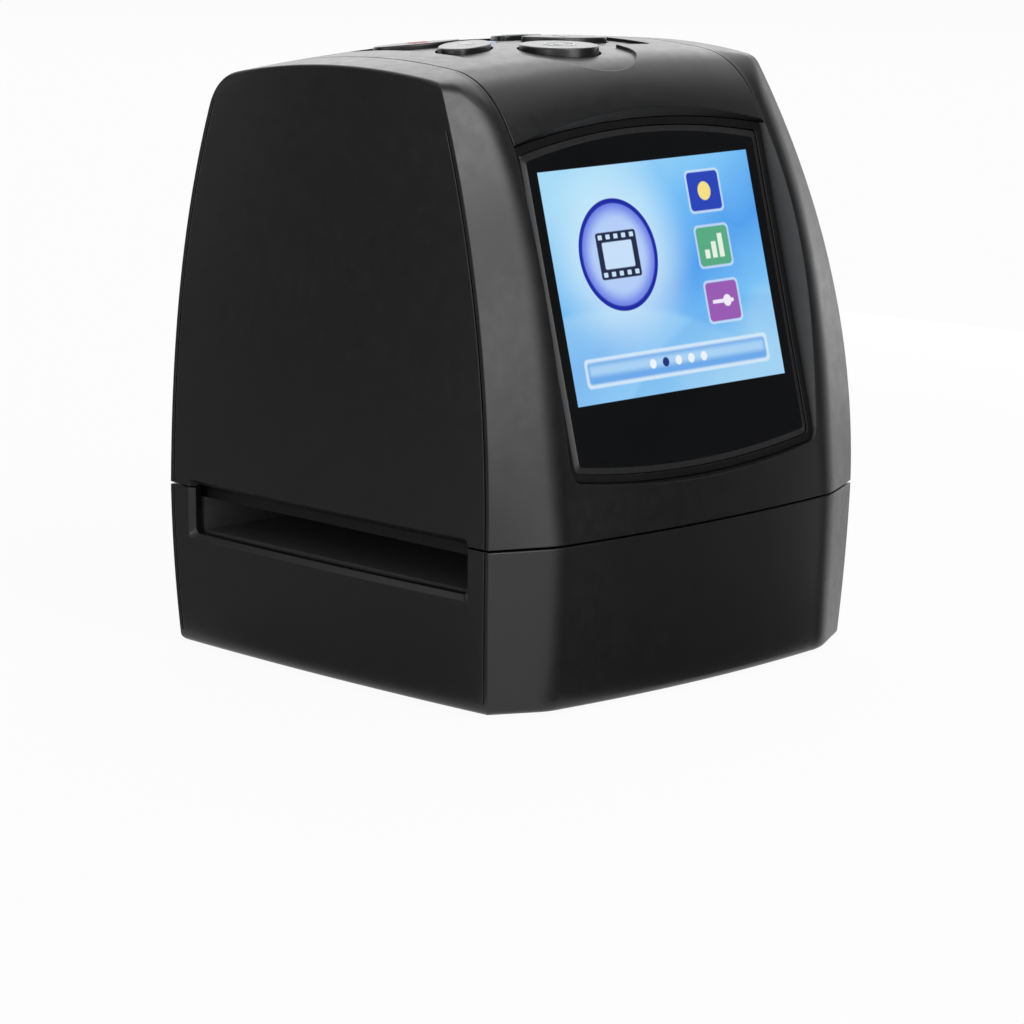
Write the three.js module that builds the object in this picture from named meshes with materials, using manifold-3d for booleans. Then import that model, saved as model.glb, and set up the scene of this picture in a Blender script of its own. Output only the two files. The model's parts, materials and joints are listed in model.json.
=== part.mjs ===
// Film negative scanner: a desk-top box that photographs film frames from above.
// Millimetres, +Z up, front face towards -Y. Origin on the table under the middle of the body.
import * as THREE from 'three';
import { mergeVertices } from 'three/addons/utils/BufferGeometryUtils.js';
import Module from 'manifold-3d';

const wasm = await Module();
wasm.setup();

// Clearances and walls shared by many pieces
const fitGap = 0.3;          // between any two pieces that meet
const wall = 2;              // moulded shells
const thinWall = 1.6;        // inner mouldings
const boardThickness = 1.6;  // circuit boards
const overrun = 8;           // how far cutters run past what they cut
const mergeTolerance = 0.0001;

// Display and film passage, which set the size of the body round them
const screenWidth = 48.96;
const screenHeight = 36.72;
const screenRise = 3.4;      // its middle above the window's centre
const slotHalfLength = 30.8; // half the width of a film carrier, with room to slide
const slotFloor = 19.4;
const slotHeight = 8.1;
const slotBevel = 0.9;
const slotFrontMargin = 5.1; // from the ends of the slot to the edges of a side panel
const slotRearMargin = 5.3;
const seamDrop = 0.5;        // the shells meet this far under the slot's upper edge

// Body, measured where the two shells meet
const footProud = 0.8;
const bevelWidth = 10.8;     // corner bevel between face and side panel
const panelBow = 1;          // the side panels bulge by this in the middle
const faceBow = 1.7;
const frontBevel = 4.9;      // how far the face stands in front of the panel's edge
const rearBevel = 4.7;
const softCorner = 3;        // soft bend between face and corner bevel

// How far the walls lean in at the crest, and at the bottom of the base
const upperPanelLean = 6.5;
const upperPanelFrontLean = 18.9;
const upperFaceLean = 21.4;
const upperRearLean = 5.1;
const basePanelLean = 1.3;
const baseFrontLean = 0.8;
const baseRearLean = 1.4;
// What part of each lean goes with the height itself, its square, its cube and its fourth power
const panelLeanShares = [0, 1];
const panelFrontLeanShares = [0, 0.9, 0.1];
const faceLeanShares = [0.36, 0, 0.45, 0.19];
const rearLeanShares = [0, 0, 0.8, 0.2];
const baseLeanShares = [0.35, 0.65];

// Top of the body
const topCrown = 1.7;        // middle of the top above the crest of the side panels
const topRadius = 130;       // curve of the top from front to back
const crestSetback = -1;     // place of the crest along Y
const faceTopRound = 6.5;    // soft bend from the front face to the top
const panelTopRound = 1.5;   // front upper corner of a side panel
const rearTopRound = 4.5;
const panelEdgeRound = 0.5;  // crisp edge between side panel and top
const baseEdgeRound = 1.2;

// Cover with the keys: the middle strip of the top, from the window over to the back
const coverOverlap = 0.1;    // its edges beyond the window's sides
const coverRise = 10.65;     // from the window's upper corners to the crest
const coverLedge = 1.6;      // width of the ledge that carries it
const ledgeThickness = 1.5;
const ledgeSetback = 1;

// Window in the front, on a plane that leans back
const windowLeanDegrees = 15.5;
const windowDepth = 3;       // plane behind the face at the window's centre
const windowSill = 9.07;     // from the seam to the window's lower corners
const windowSideMargin = 4.42;
const windowHeadMargin = 4.34;
const windowFootMargin = 11.64;
const windowSurround = 3.3;  // from the window to the corner bevels
const windowHeadDome = 2.5;
const windowFootDome = 1.8;
const windowCornerRadius = 3;
const windowTopCornerRadius = 0.8;
const windowFlareShare = 0.5;   // the recess widens by this share of its depth
const windowBrowShare = 1.3;    // and by this share over the middle of its head
const collarThickness = 1.8;
const collarDepth = 4;
const bezelThickness = 2.6;
const bezelBand = 1.3;       // rim of the frame round the lens
const bezelLedge = 3;        // what the lens lies on
const lensThickness = 1.4;
const lensBevel = 0.7;
const lensBevelDepth = 0.4;
const seatWidth = 2;         // ledge behind the frame

// Display, and the boards behind it
const displayRim = 2;
const displayThickness = 2.3;
const bracketRim = 1.6;
const bracketFloor = 1.5;
const bracketRadius = 1;
const standoffLength = 2;
const standoffRadius = 2;
const standoffInset = 5;
const mainBoardInset = 0.5;
const mainBoardReach = 1.6;
const chipSize = 12;
const chipHeight = 1.2;

// Film passage, open on both sides of the body
const passageHeight = 5.4;   // clear height for the film holder
const trackStep = 0.2;       // its floor above the slot's lower edge
const trackThickness = 2;
const trackEndGap = 2.8;     // its ends inside the side panels
const railThickness = 1.5;
const railGap = 0.1;         // rails stand this far behind the edge of the slot
const frameWidth = 38;       // film frame with its margin
const frameDepth = 26;
const gateSetback = 0.3;
const gateThickness = 1.6;
const gateWallHeight = 7;
const gateWallRearGap = 8;   // the end walls stop short of the rear

// Light under the film
const lightMargin = 4;
const diffuserThickness = 1.5;
const lightBoxTaper = 3;
const lightBoardMargin = 3;
const lightPostHeight = 1.2;
const ledSize = 3;
const ledHeight = 0.8;
const ledPitch = 9;
const ledColumns = 4;
const ledRows = 3;

// Camera over the film
const towerHeight = 36;
const towerTopHalf = 12.5;
const towerMargin = 3;
const towerFlange = 2;
const holderHalf = 9;
const holderHeight = 9;
const barrelRadius = 6;
const barrelDrop = 5;
const barrelHeight = 11;
const barrelBore = 3.4;
const barrelBoreDepth = 3;
const cameraClearance = 5.7; // between its board and the main board
const sensorSize = 10;
const sensorHeight = 1.2;

// Keys
const padHalfWidth = 21;
const padFrontStep = 1;      // its front edge behind the middle of the scan key
const padDepth = 0.5;
const padCorner = 1;
const padRing = 6;           // its round bay is wider than the scan key by this
const scanSetback = 11.4;    // middle of the scan key, from the front of the crest
const scanRadius = 6.4;
const lampSetback = 15.2;    // behind the middle of the scan key
const padReach = 11.8;       // behind the lamp
const lampRadius = 1;
const lampFlange = 1.2;
const lampChipHeight = 1;
const leafOffsetX = 11.3;
const leafOffsetY = 5.4;
const leafLength = 14.4;
const leafWidth = 7.4;
const leafShares = [[-1, 0], [-0.45, 0.85], [0.35, 1], [0.97, 0.45]];
const leafProud = 0.5;       // above the surface round the pad
const scanProud = 0.8;
const keyBevel = 0.7;
const keyGap = 0.4;
const keyFlange = 0.9;
const keyFlangeThickness = 1;
const keyTravel = 0.7;
const stemRadius = 2;
const keyBoardDrop = 10.1;   // below the crest
const keyBoardSideGap = 2.4;
const keyBoardFrontMargin = 1.6;
const keyBoardRearMargin = 3.5;
const switchSize = 6;
const switchHeight = 3;
const switchStemRadius = 1.7;
const switchStemProud = 1.2;
const switchWell = 2.2;
const keyBossInset = 3;      // from the side edges of the key board
const keyBossFrontInset = 6;
const keyBossRearInset = 4;
const bossRadius = 2.3;

// Sockets in the back of the base, on their own board
const usbPlace = 9;
const usbWidth = 7.7;
const usbHeight = 3.95;
const usbDepth = 9.2;
const usbShell = 0.4;
const usbTongueShare = 0.4;
const usbCutWidth = 9.6;
const usbCutHeight = 4.7;
const jackPlace = -9;
const jackRadius = 3;
const jackBore = 1.8;
const jackBoreDepth = 9;
const jackHeight = 6;
const jackWidth = 6.6;
const jackDepth = 9;
const jackNose = 2.6;
const socketSetback = 0.5;   // mouths behind the outer face
const socketBoardBottom = 7.2;
const socketBoardMargin = 13;
const socketBoardGap = 3.6;  // behind the light box
const socketPostRadius = 2;
const socketPostInset = 4;

// Fasteners, feet and the click stops for the film holder
const screwSideInset = 4.2;  // from the corner bevels
const screwWallGap = 3.2;
const screwBoss = 2.7;
const screwRadius = 1.1;
const screwHead = 2;
const screwHeadHeight = 1.4;
const screwSink = 6;
const screwBite = 5.8;       // how far it reaches into the upper shell
const bossWeb = 1.4;
const upperBossHeight = 14;
const keyScrewLength = 5;
const footRadius = 3.9;
const footSink = 0.8;
const footSideInset = 8.6;   // from the edges of the side panels
const footEndInset = 7.3;
const trackPostSideInset = 4.6;
const trackPostEndInset = 8.8;
const trackPostRadius = 2.4;
const clickPlace = 19;
const clickRadius = 1.5;
const clickReach = 0.8;
const clickLength = 3;
const clickTip = 0.7;
const clickWall = 1.2;
const springWire = 0.2;
const springTurns = 4;
const springLength = 1.9;

// Flat cables
const ribbonThickness = 0.4;
const ribbonWidth = 12;
const ribbonSlack = 3;
const keyRibbonShare = 0.8;
const cameraRibbonShare = 0.3;

// Derived places and sizes
const lean = THREE.MathUtils.degToRad(windowLeanDegrees);
const windowHalfWidth = screenWidth / 2 + windowSideMargin;
const windowTopCorner = screenRise + screenHeight / 2 + windowHeadMargin;
const windowTopMiddle = windowTopCorner + windowHeadDome;
const windowFootCorner = screenHeight / 2 - screenRise + windowFootMargin;
const windowFootMiddle = windowFootCorner + windowFootDome;
const faceHalfWidth = windowHalfWidth + windowSurround;
const panelHalfWidth = faceHalfWidth + bevelWidth;
const panelFront = slotHalfLength + slotFrontMargin;
const panelRear = slotHalfLength + slotRearMargin;
const baseBottom = footProud;
const seam = slotFloor + slotHeight - seamDrop;
const windowHeight = seam + windowSill + windowFootCorner * Math.cos(lean);
const coverFootHeight = windowHeight + windowTopCorner * Math.cos(lean);
const crest = coverFootHeight + coverRise;
const baseHeight = seam - baseBottom;
const upperHeight = crest - seam;
const coverHalfWidth = windowHalfWidth + coverOverlap;
const baseTop = seam - fitGap / 2;
const upperFoot = seam + fitGap / 2;
const floorTop = baseBottom + wall;
const trackFloor = slotFloor + trackStep;
const trackBottom = trackFloor - trackThickness;
const trackHalfLength = panelHalfWidth - trackEndGap;
const gateHalfLength = trackHalfLength - gateSetback;
const gateFloor = trackFloor + passageHeight;
const gateTop = gateFloor + gateThickness;
const lightHalfX = frameWidth / 2 + lightMargin;
const lightHalfY = frameDepth / 2 + lightMargin;
const displayHalfWidth = screenWidth / 2 + displayRim;
const displayHalfHeight = screenHeight / 2 + displayRim;
const mainBoardHalfWidth = displayHalfWidth - mainBoardInset;
const mainBoardHalfHeight = displayHalfHeight + mainBoardReach;
const scanPlace = scanSetback - (panelFront + frontBevel - upperFaceLean);
const lampPlace = scanPlace + lampSetback;
const padRear = lampPlace + padReach;
const padFront = scanPlace - padFrontStep;
const padCircle = scanRadius + padRing;
const keyBoardBottom = crest - keyBoardDrop;
const keyBoardTop = keyBoardBottom + boardThickness;
const keyBoardHalfWidth = coverHalfWidth - coverLedge - keyBoardSideGap;
const keyBoardFront = scanPlace - scanRadius - keyBoardFrontMargin;
const keyBoardRear = padRear + keyBoardRearMargin;
const keyBossX = keyBoardHalfWidth - keyBossInset;
const keyBossFront = keyBoardFront + keyBossFrontInset;
const keyBossRear = keyBoardRear - keyBossRearInset;
const socketBoardHalf = usbPlace + socketBoardMargin;
const socketBoardFront = lightHalfY + socketBoardGap;
const socketPostX = socketBoardHalf - socketPostInset;
const socketPostY = socketBoardFront + socketPostInset;
const screwPlaceX = faceHalfWidth - screwSideInset;
const screwPlaceY = panelFront + frontBevel - wall - screwWallGap;
const screwLength = seam + screwBite - baseBottom - screwSink;
const footPlaceX = panelHalfWidth - footSideInset;
const footPlaceY = panelFront - footEndInset;
const trackPostX = trackHalfLength - trackPostSideInset;
const trackPostY = slotHalfLength - trackPostEndInset;

// Facet counts
const outsideSteps = {
  faceSteps: 4, panelSteps: 5, wallSteps: 8, roundSteps: 3, crossSteps: 3, baseSteps: 4,
};
const insideSteps = { faceSteps: 2, panelSteps: 3, wallSteps: 5, roundSteps: 2, crossSteps: 2, baseSteps: 2 };
const cornerSteps = 2;
const crestPasses = 6;
const arcSteps = 5;
const ledgeSteps = 4;
const roundSides = 18;
const springSteps = 5;
const springSides = 4;
const smallSides = 12;
const leafSides = 14;
const slotCornerSteps = 2;

const group = new THREE.Group();

// Solids and booleans

function toSolid(geometry) {
  const bare = geometry.index ? geometry.toNonIndexed() : geometry.clone();
  bare.deleteAttribute('normal');
  bare.deleteAttribute('uv');
  const merged = mergeVertices(bare, mergeTolerance);
  const index = merged.index.array;
  const triVerts = [];
  for (let i = 0; i < index.length; i += 3) {
    const [a, b, c] = [index[i], index[i + 1], index[i + 2]];
    if (a !== b && b !== c && c !== a) triVerts.push(a, b, c);
  }
  const mesh = new wasm.Mesh({
    numProp: 3,
    vertProperties: new Float32Array(merged.attributes.position.array),
    triVerts: new Uint32Array(triVerts),
  });
  return new wasm.Manifold(mesh);
}

function toGeometry(solid) {
  const mesh = solid.getMesh();
  const geometry = new THREE.BufferGeometry();
  geometry.setAttribute('position', new THREE.BufferAttribute(mesh.vertProperties, 3));
  geometry.setIndex(new THREE.BufferAttribute(mesh.triVerts, 1));
  geometry.computeVertexNormals();
  return geometry;
}

const join = (first, ...rest) => rest.reduce((sum, solid) => sum.add(solid), first);
const cut = (first, ...rest) => rest.reduce((sum, solid) => sum.subtract(solid), first);
const common = (first, ...rest) => rest.reduce((sum, solid) => sum.intersect(solid), first);

function addPart(name, solid, material, placing) {
  const geometry = toGeometry(solid);
  if (placing) geometry.applyMatrix4(placing);
  const mesh = new THREE.Mesh(geometry, material.clone());
  mesh.name = name;
  group.add(mesh);
}

function block(x0, x1, y0, y1, z0, z1) {
  const geometry = new THREE.BoxGeometry(x1 - x0, y1 - y0, z1 - z0);
  geometry.translate((x0 + x1) / 2, (y0 + y1) / 2, (z0 + z1) / 2);
  return toSolid(geometry);
}

const plate = (halfX, halfY, z0, z1) => block(-halfX, halfX, -halfY, halfY, z0, z1);

function rod(radius, x, y, z0, z1, sides = smallSides) {
  const geometry = new THREE.CylinderGeometry(radius, radius, z1 - z0, sides);
  geometry.rotateX(Math.PI / 2);
  geometry.translate(x, y, (z0 + z1) / 2);
  return toSolid(geometry);
}

function prism(shape, z0, z1, steps = arcSteps) {
  const settings = { depth: z1 - z0, bevelEnabled: false, curveSegments: steps };
  const geometry = new THREE.ExtrudeGeometry(shape, settings);
  geometry.translate(0, 0, z0);
  return toSolid(geometry);
}

// A prism whose outline changes from one shape at z0 to another with as many points at z1
function taperedPrism(shape0, z0, shape1, z1, steps = arcSteps) {
  const ring0 = shape0.extractPoints(steps).shape;
  const ring1 = shape1.extractPoints(steps).shape;
  if (THREE.ShapeUtils.isClockWise(ring0)) {
    ring0.reverse();
    ring1.reverse();
  }
  const same = ring0[0].equals(ring0[ring0.length - 1]);
  const count = same ? ring0.length - 1 : ring0.length;
  const low = ring0.slice(0, count);
  const high = ring1.slice(0, count);
  const positions = [];
  const push = (point, z) => positions.push(point.x, point.y, z);
  for (let i = 0; i < count; i++) {
    const j = (i + 1) % count;
    push(low[i], z0);
    push(low[j], z0);
    push(high[j], z1);
    push(low[i], z0);
    push(high[j], z1);
    push(high[i], z1);
  }
  for (const [a, b, c] of THREE.ShapeUtils.triangulateShape(low, [])) {
    push(low[c], z0);
    push(low[b], z0);
    push(low[a], z0);
    push(high[a], z1);
    push(high[b], z1);
    push(high[c], z1);
  }
  return toSolid(fromPositions(positions));
}

function fromPositions(positions) {
  const geometry = new THREE.BufferGeometry();
  geometry.setAttribute('position', new THREE.Float32BufferAttribute(positions, 3));
  return geometry;
}

function rectangle(halfX, halfY, radius) {
  const shape = new THREE.Shape();
  shape.moveTo(halfX - radius, -halfY);
  shape.absarc(halfX - radius, -halfY + radius, radius, -Math.PI / 2, 0);
  shape.absarc(halfX - radius, halfY - radius, radius, 0, Math.PI / 2);
  shape.absarc(-halfX + radius, halfY - radius, radius, Math.PI / 2, Math.PI);
  shape.absarc(-halfX + radius, -halfY + radius, radius, Math.PI, Math.PI * 1.5);
  return shape;
}

// Outer form of the body

// A bend from a to c that heads for b first
const bend = (a, b, c, t) => a * (1 - t) ** 2 + b * 2 * t * (1 - t) + c * t * t;

function leanAt(total, shares, heightShare) {
  return total * shares.reduce((sum, share, i) => sum + share * heightShare ** (i + 1), 0);
}

// Half sizes of the plan at one height, drawn in by an inset
function planAt(z, inset) {
  const high = z > seam;
  const share = Math.min(high ? (z - seam) / upperHeight : (seam - z) / baseHeight, 1);
  const pick = (upper, upperShares, base) =>
    high ? leanAt(upper, upperShares, share) : leanAt(base, baseLeanShares, share);
  const frontEdge = panelFront - pick(upperPanelFrontLean, panelFrontLeanShares, baseFrontLean);
  const face = panelFront + frontBevel - pick(upperFaceLean, faceLeanShares, baseFrontLean);
  const rearEdge = panelRear - pick(upperRearLean, rearLeanShares, baseRearLean);
  return {
    panel: panelHalfWidth - pick(upperPanelLean, panelLeanShares, basePanelLean) - inset,
    face: faceHalfWidth - inset / 2,
    frontEdge: frontEdge - inset,
    front: face - inset,
    rearEdge: rearEdge - inset,
    rear: rearEdge + rearBevel - inset,
  };
}

function topAt(x, y) {
  const across = x / (panelHalfWidth - upperPanelLean);
  const along = y - crestSetback;
  const drop = topRadius - Math.sqrt(topRadius * topRadius - along * along);
  return crest + topCrown * (1 - across * across) - drop;
}

// Right half of the plan outline, from the middle of the front to the middle of the back.
// Each point knows how it bends into the top: by how much it leads inwards.
function halfPlan(z, inset, steps) {
  const plan = planAt(z, inset);
  const softX = plan.face - softCorner;
  const softShare = softCorner / (plan.panel - plan.face);
  const faceRound = Math.max(faceTopRound - inset, panelEdgeRound);
  const rearRound = Math.max(rearTopRound - inset, panelEdgeRound);
  const points = [];
  const add = (x, y, leadX, leadY) => points.push({ x, y, leadX, leadY });
  const faceEnd = (side, y, edgeY, round) => {
    const row = [];
    for (let i = 0; i <= steps.faceSteps; i++) {
      const x = softX * i / steps.faceSteps;
      row.push([x, side * (y + faceBow * (1 - (x / softX) ** 2)), 0, -side * round]);
    }
    const endY = y - (y - edgeY) * softShare;
    for (let i = 1; i <= cornerSteps; i++) {
      const t = i / cornerSteps;
      const lead = round + (panelTopRound - round) * t * softShare;
      const across = bend(softX, plan.face, plan.face + softCorner, t);
      row.push([across, side * bend(y, y, endY, t), 0, -side * lead]);
    }
    return row;
  };
  for (const entry of faceEnd(-1, plan.front, plan.frontEdge, faceRound)) add(...entry);
  for (let i = 0; i <= steps.panelSteps; i++) {
    const t = i / steps.panelSteps;
    const leadY = i === 0 ? panelTopRound : i === steps.panelSteps ? -rearRound : 0;
    const x = plan.panel + panelBow * 4 * t * (1 - t);
    add(x, -plan.frontEdge + (plan.rearEdge + plan.frontEdge) * t, -panelEdgeRound, leadY);
  }
  for (const entry of faceEnd(1, plan.rear, plan.rearEdge, rearRound).reverse()) add(...entry);
  return points;
}

// Closed ring of points from its right half, counter-clockwise seen from above
const mirrorRing = (half) => [
  ...half,
  ...half.slice(1, -1).reverse().map((p) => new THREE.Vector3(-p.x, p.y, p.z)),
];

// Rings drawn together to one point, which close the end of a loft
function closingRings(ring, steps, place) {
  const middle = new THREE.Vector3();
  for (const p of ring) middle.add(p);
  middle.divideScalar(ring.length);
  const drawnTo = (t) => ring.map((p) => place(p.clone().lerp(middle, t)));
  return Array.from({ length: steps }, (_, i) => drawnTo((i + 1) / steps));
}

// Closed rings with as many points each become one solid; the end rings are single points
function loftSolid(rings) {
  const positions = [];
  const triangle = (a, b, c) => positions.push(...a.toArray(), ...b.toArray(), ...c.toArray());
  for (let k = 0; k + 1 < rings.length; k++) {
    const count = rings[k].length;
    for (let i = 0; i < count; i++) {
      const j = (i + 1) % count;
      triangle(rings[k][i], rings[k][j], rings[k + 1][j]);
      triangle(rings[k][i], rings[k + 1][j], rings[k + 1][i]);
    }
  }
  return toSolid(fromPositions(positions));
}

function closedLoft(rings, topSteps, topPlace) {
  const stay = (p) => p;
  const foot = closingRings(rings[0], 1, stay).reverse();
  const head = closingRings(rings[rings.length - 1], topSteps, topPlace || stay);
  return loftSolid([...foot, ...rings, ...head]);
}

// The whole form above a given level, drawn in by a side inset and a top inset
function upperForm(inset, topInset, bottom, steps = insideSteps) {
  const heightAt = (x, y) => topAt(x, y) - topInset;
  const planOf = (z) => halfPlan(z, inset, steps);
  const count = planOf(bottom).length;
  const corners = Array.from({ length: count }, (_, i) => {
    let z = crest;
    for (let pass = 0; pass < crestPasses; pass++) {
      const p = planOf(z)[i];
      z = heightAt(p.x, p.y);
    }
    return { ...planOf(z)[i], z };
  });
  const rings = [];
  for (let level = 0; level <= steps.wallSteps; level++) {
    rings.push(corners.map((corner, i) => {
      const drop = Math.max(Math.abs(corner.leadY), -corner.leadX);
      const z = bottom + (corner.z - drop - bottom) * level / steps.wallSteps;
      const p = planOf(z)[i];
      return new THREE.Vector3(p.x, p.y, z);
    }));
  }
  const shoulder = rings[steps.wallSteps];
  for (let step = 1; step <= steps.roundSteps; step++) {
    const t = step / steps.roundSteps;
    rings.push(corners.map((corner, i) => {
      const a = shoulder[i];
      const x = corner.x + corner.leadX;
      const y = corner.y + corner.leadY;
      const high = bend(a.z, corner.z, heightAt(x, y), t);
      return new THREE.Vector3(bend(a.x, corner.x, x, t), bend(a.y, corner.y, y, t), high);
    }));
  }
  const onTop = (p) => p.setZ(heightAt(p.x, p.y));
  return closedLoft(rings.map(mirrorRing), steps.crossSteps, onTop);
}

function baseForm(inset, bottom, top, steps = insideSteps) {
  const levels = [[bottom, inset + baseEdgeRound]];
  for (let step = 1; step < cornerSteps; step++) {
    const angle = Math.PI / 2 * step / cornerSteps;
    const lift = baseEdgeRound * (1 - Math.cos(angle));
    levels.push([bottom + lift, inset + baseEdgeRound * (1 - Math.sin(angle))]);
  }
  const start = bottom + baseEdgeRound;
  for (let level = 0; level <= steps.baseSteps; level++) {
    levels.push([start + (top - start) * level / steps.baseSteps, inset]);
  }
  const rings = levels.map(([z, by]) => halfPlan(z, by, steps).map((p) => new THREE.Vector3(p.x, p.y, z)));
  return closedLoft(rings.map(mirrorRing), 1);
}

// Window, drawn on its leaning plane: X across, Y up the plane, Z out of the body

const windowPlane = new THREE.Matrix4().makeBasis(
  new THREE.Vector3(1, 0, 0),
  new THREE.Vector3(0, Math.sin(lean), Math.cos(lean)),
  new THREE.Vector3(0, -Math.cos(lean), Math.sin(lean)),
).setPosition(0, windowDepth - planAt(windowHeight, 0).front, windowHeight);

const onWindow = (solid) => toSolid(toGeometry(solid).applyMatrix4(windowPlane));

// Outline with a domed head and foot, grown by a distance
function windowOutline(grow, brow = grow) {
  const half = windowHalfWidth + grow;
  const head = windowTopCorner + grow;
  const foot = -windowFootCorner - grow;
  const headPull = 2 * (windowTopMiddle + brow) - head;
  const footPull = -2 * (windowFootMiddle + grow) - foot;
  const foots = Math.max(windowCornerRadius + grow, windowTopCornerRadius);
  const heads = Math.max(windowTopCornerRadius + grow, windowTopCornerRadius);
  const shape = new THREE.Shape();
  shape.moveTo(-half + foots, foot);
  shape.quadraticCurveTo(0, footPull, half - foots, foot);
  shape.quadraticCurveTo(half, foot, half, foot + foots);
  shape.lineTo(half, head - heads);
  shape.quadraticCurveTo(half, head, half - heads, head);
  shape.quadraticCurveTo(0, headPull, -half + heads, head);
  shape.quadraticCurveTo(-half, head, -half, head - heads);
  shape.lineTo(-half, foot + foots);
  shape.quadraticCurveTo(-half, foot, -half + foots, foot);
  return shape;
}

function windowCutter(grow) {
  const flare = overrun * windowFlareShare;
  const front = windowOutline(grow + flare, grow + overrun * windowBrowShare);
  const straight = prism(windowOutline(grow), -collarDepth - overrun, 0);
  return onWindow(join(straight, taperedPrism(windowOutline(grow), 0, front, overrun)));
}

function windowCollar() {
  const flare = overrun * windowFlareShare;
  const outer = windowOutline(collarThickness);
  const front = windowOutline(collarThickness + flare, collarThickness + overrun * windowBrowShare);
  const straight = prism(outer, -collarDepth, 0);
  return onWindow(join(straight, taperedPrism(outer, 0, front, overrun)));
}

// Ledge behind the frame, which also carries the bracket
function windowSeat() {
  const back = -collarDepth;
  const front = -bezelThickness - fitGap;
  const band = prism(windowOutline(collarThickness), back, front);
  return onWindow(cut(band, prism(windowOutline(-seatWidth), back - overrun, 0)));
}

// Film passage

function panelSurface(y, z) {
  const plan = planAt(z, 0);
  const t = (y + plan.frontEdge) / (plan.frontEdge + plan.rearEdge);
  return plan.panel + panelBow * 4 * t * (1 - t);
}

// One mouth of the film passage, bevelled outwards along the bowed side panel
function slotMouth(side) {
  const middle = slotFloor + slotHeight / 2;
  const ring = (grow, out) => {
    const shape = rectangle(slotHalfLength + grow, slotHeight / 2 + grow, slotBevel);
    const outline = shape.extractPoints(slotCornerSteps).shape.slice(0, -1);
    const placed = outline.map((p) => {
      const surface = panelSurface(p.x, middle + p.y);
      return new THREE.Vector3(out === null ? 0 : side * (surface + out), p.x, middle + p.y);
    });
    return side > 0 ? placed : placed.reverse();
  };
  const far = overrun / 2;
  return closedLoft([ring(0, null), ring(0, -slotBevel), ring(slotBevel, 0), ring(slotBevel + far, far)], 1);
}

const slotCutter = () => join(slotMouth(1), slotMouth(-1));

// Keys: a leaf that points at the lamp, and a round one

function leafShape(x, y, grow) {
  const angle = Math.atan2(y - lampPlace, x);
  const half = leafLength / 2 + grow;
  const side = leafWidth / 2 + grow;
  const right = leafShares.map(([alongShare, sideShare]) => [half * alongShare, side * sideShare]);
  const left = right.slice(1).reverse().map(([u, v]) => [u, -v]);
  const curve = new THREE.CatmullRomCurve3([...right, ...left].map(([u, v]) => new THREE.Vector3(
    x + u * Math.cos(angle) - v * Math.sin(angle),
    y + u * Math.sin(angle) + v * Math.cos(angle),
    0,
  )), true, 'centripetal');
  return new THREE.Shape(curve.getPoints(leafSides).slice(0, -1).map((p) => new THREE.Vector2(p.x, p.y)));
}

function polygonShape(radius, sides) {
  const centre = new THREE.Vector2();
  const corner = (_, i) => new THREE.Vector2(radius, 0).rotateAround(centre, i / sides * Math.PI * 2);
  return new THREE.Shape(Array.from({ length: sides }, corner));
}

function circleShape(x, y, radius) {
  return new THREE.Shape().absarc(x, y, radius, 0, Math.PI * 2);
}

const keys = [
  { name: 'power', x: -leafOffsetX, y: lampPlace + leafOffsetY },
  { name: 'menu', x: leafOffsetX, y: lampPlace + leafOffsetY },
  { name: 'mirror', x: -leafOffsetX, y: lampPlace - leafOffsetY },
  { name: 'flip', x: leafOffsetX, y: lampPlace - leafOffsetY },
  { name: 'scan', x: 0, y: scanPlace, round: true },
];

const keyShape = (key, grow) =>
  key.round ? circleShape(key.x, key.y, scanRadius + grow) : leafShape(key.x, key.y, grow);

// Colours and finishes

const finish = (color, roughness, metalness = 0) =>
  new THREE.MeshStandardMaterial({ color, roughness, metalness });

const shellPlastic = finish(0x17181a, 0.34);
const keyPlastic = finish(0x1b1c1f, 0.3);
const innerPlastic = finish(0x202124, 0.55);
const palePlastic = finish(0xd8dad8, 0.5);
const glossPanel = finish(0x090a0c, 0.06);
const displayGlass = finish(0x9cc3e6, 0.2);
const boardGreen = finish(0x1e5a3a, 0.5);
const steel = finish(0xb9bcc0, 0.3, 1);
const blackRubber = finish(0x1a1a1a, 0.85);
const diffuserWhite = finish(0xf2f3f1, 0.4);
const lampPlastic = finish(0x3f8fe0, 0.25);
const cableGrey = finish(0xc9a55a, 0.5);

// Shells of the body

const everywhere = panelHalfWidth + overrun;
const coverStrip = (grow) => block(
  -coverHalfWidth - grow, coverHalfWidth + grow,
  -everywhere, everywhere,
  coverFootHeight - grow, crest + topCrown + overrun,
);

const screwPlaces = [];
for (const y of [-screwPlaceY, screwPlaceY]) {
  for (const x of [-screwPlaceX, screwPlaceX]) screwPlaces.push([x, y]);
}

// A boss with a web to the nearest wall
function wallBoss(x, y, z0, z1) {
  const reach = Math.sign(y) * (panelFront + frontBevel);
  const web = block(x - bossWeb / 2, x + bossWeb / 2, Math.min(y, reach), Math.max(y, reach), z0, z1);
  return join(rod(screwBoss, x, y, z0, z1), web);
}

function footPlaces() {
  const places = [];
  for (const y of [-footPlaceY, footPlaceY]) {
    for (const x of [-footPlaceX, footPlaceX]) places.push([x, y]);
  }
  return places;
}

const socketTop = socketBoardBottom + boardThickness;
const usbMiddle = socketTop + usbHeight / 2;
const jackMiddle = socketTop + jackHeight / 2;

function rearSurface(x, z) {
  const plan = planAt(z, 0);
  return plan.rear + faceBow * (1 - (x / (plan.face - softCorner)) ** 2);
}

const usbMouth = rearSurface(usbPlace, usbMiddle) - socketSetback;
const jackMouth = rearSurface(jackPlace, jackMiddle) - socketSetback;
const socketBoardRear = rearSurface(socketBoardHalf, socketTop) - wall - fitGap * 2;

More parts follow.
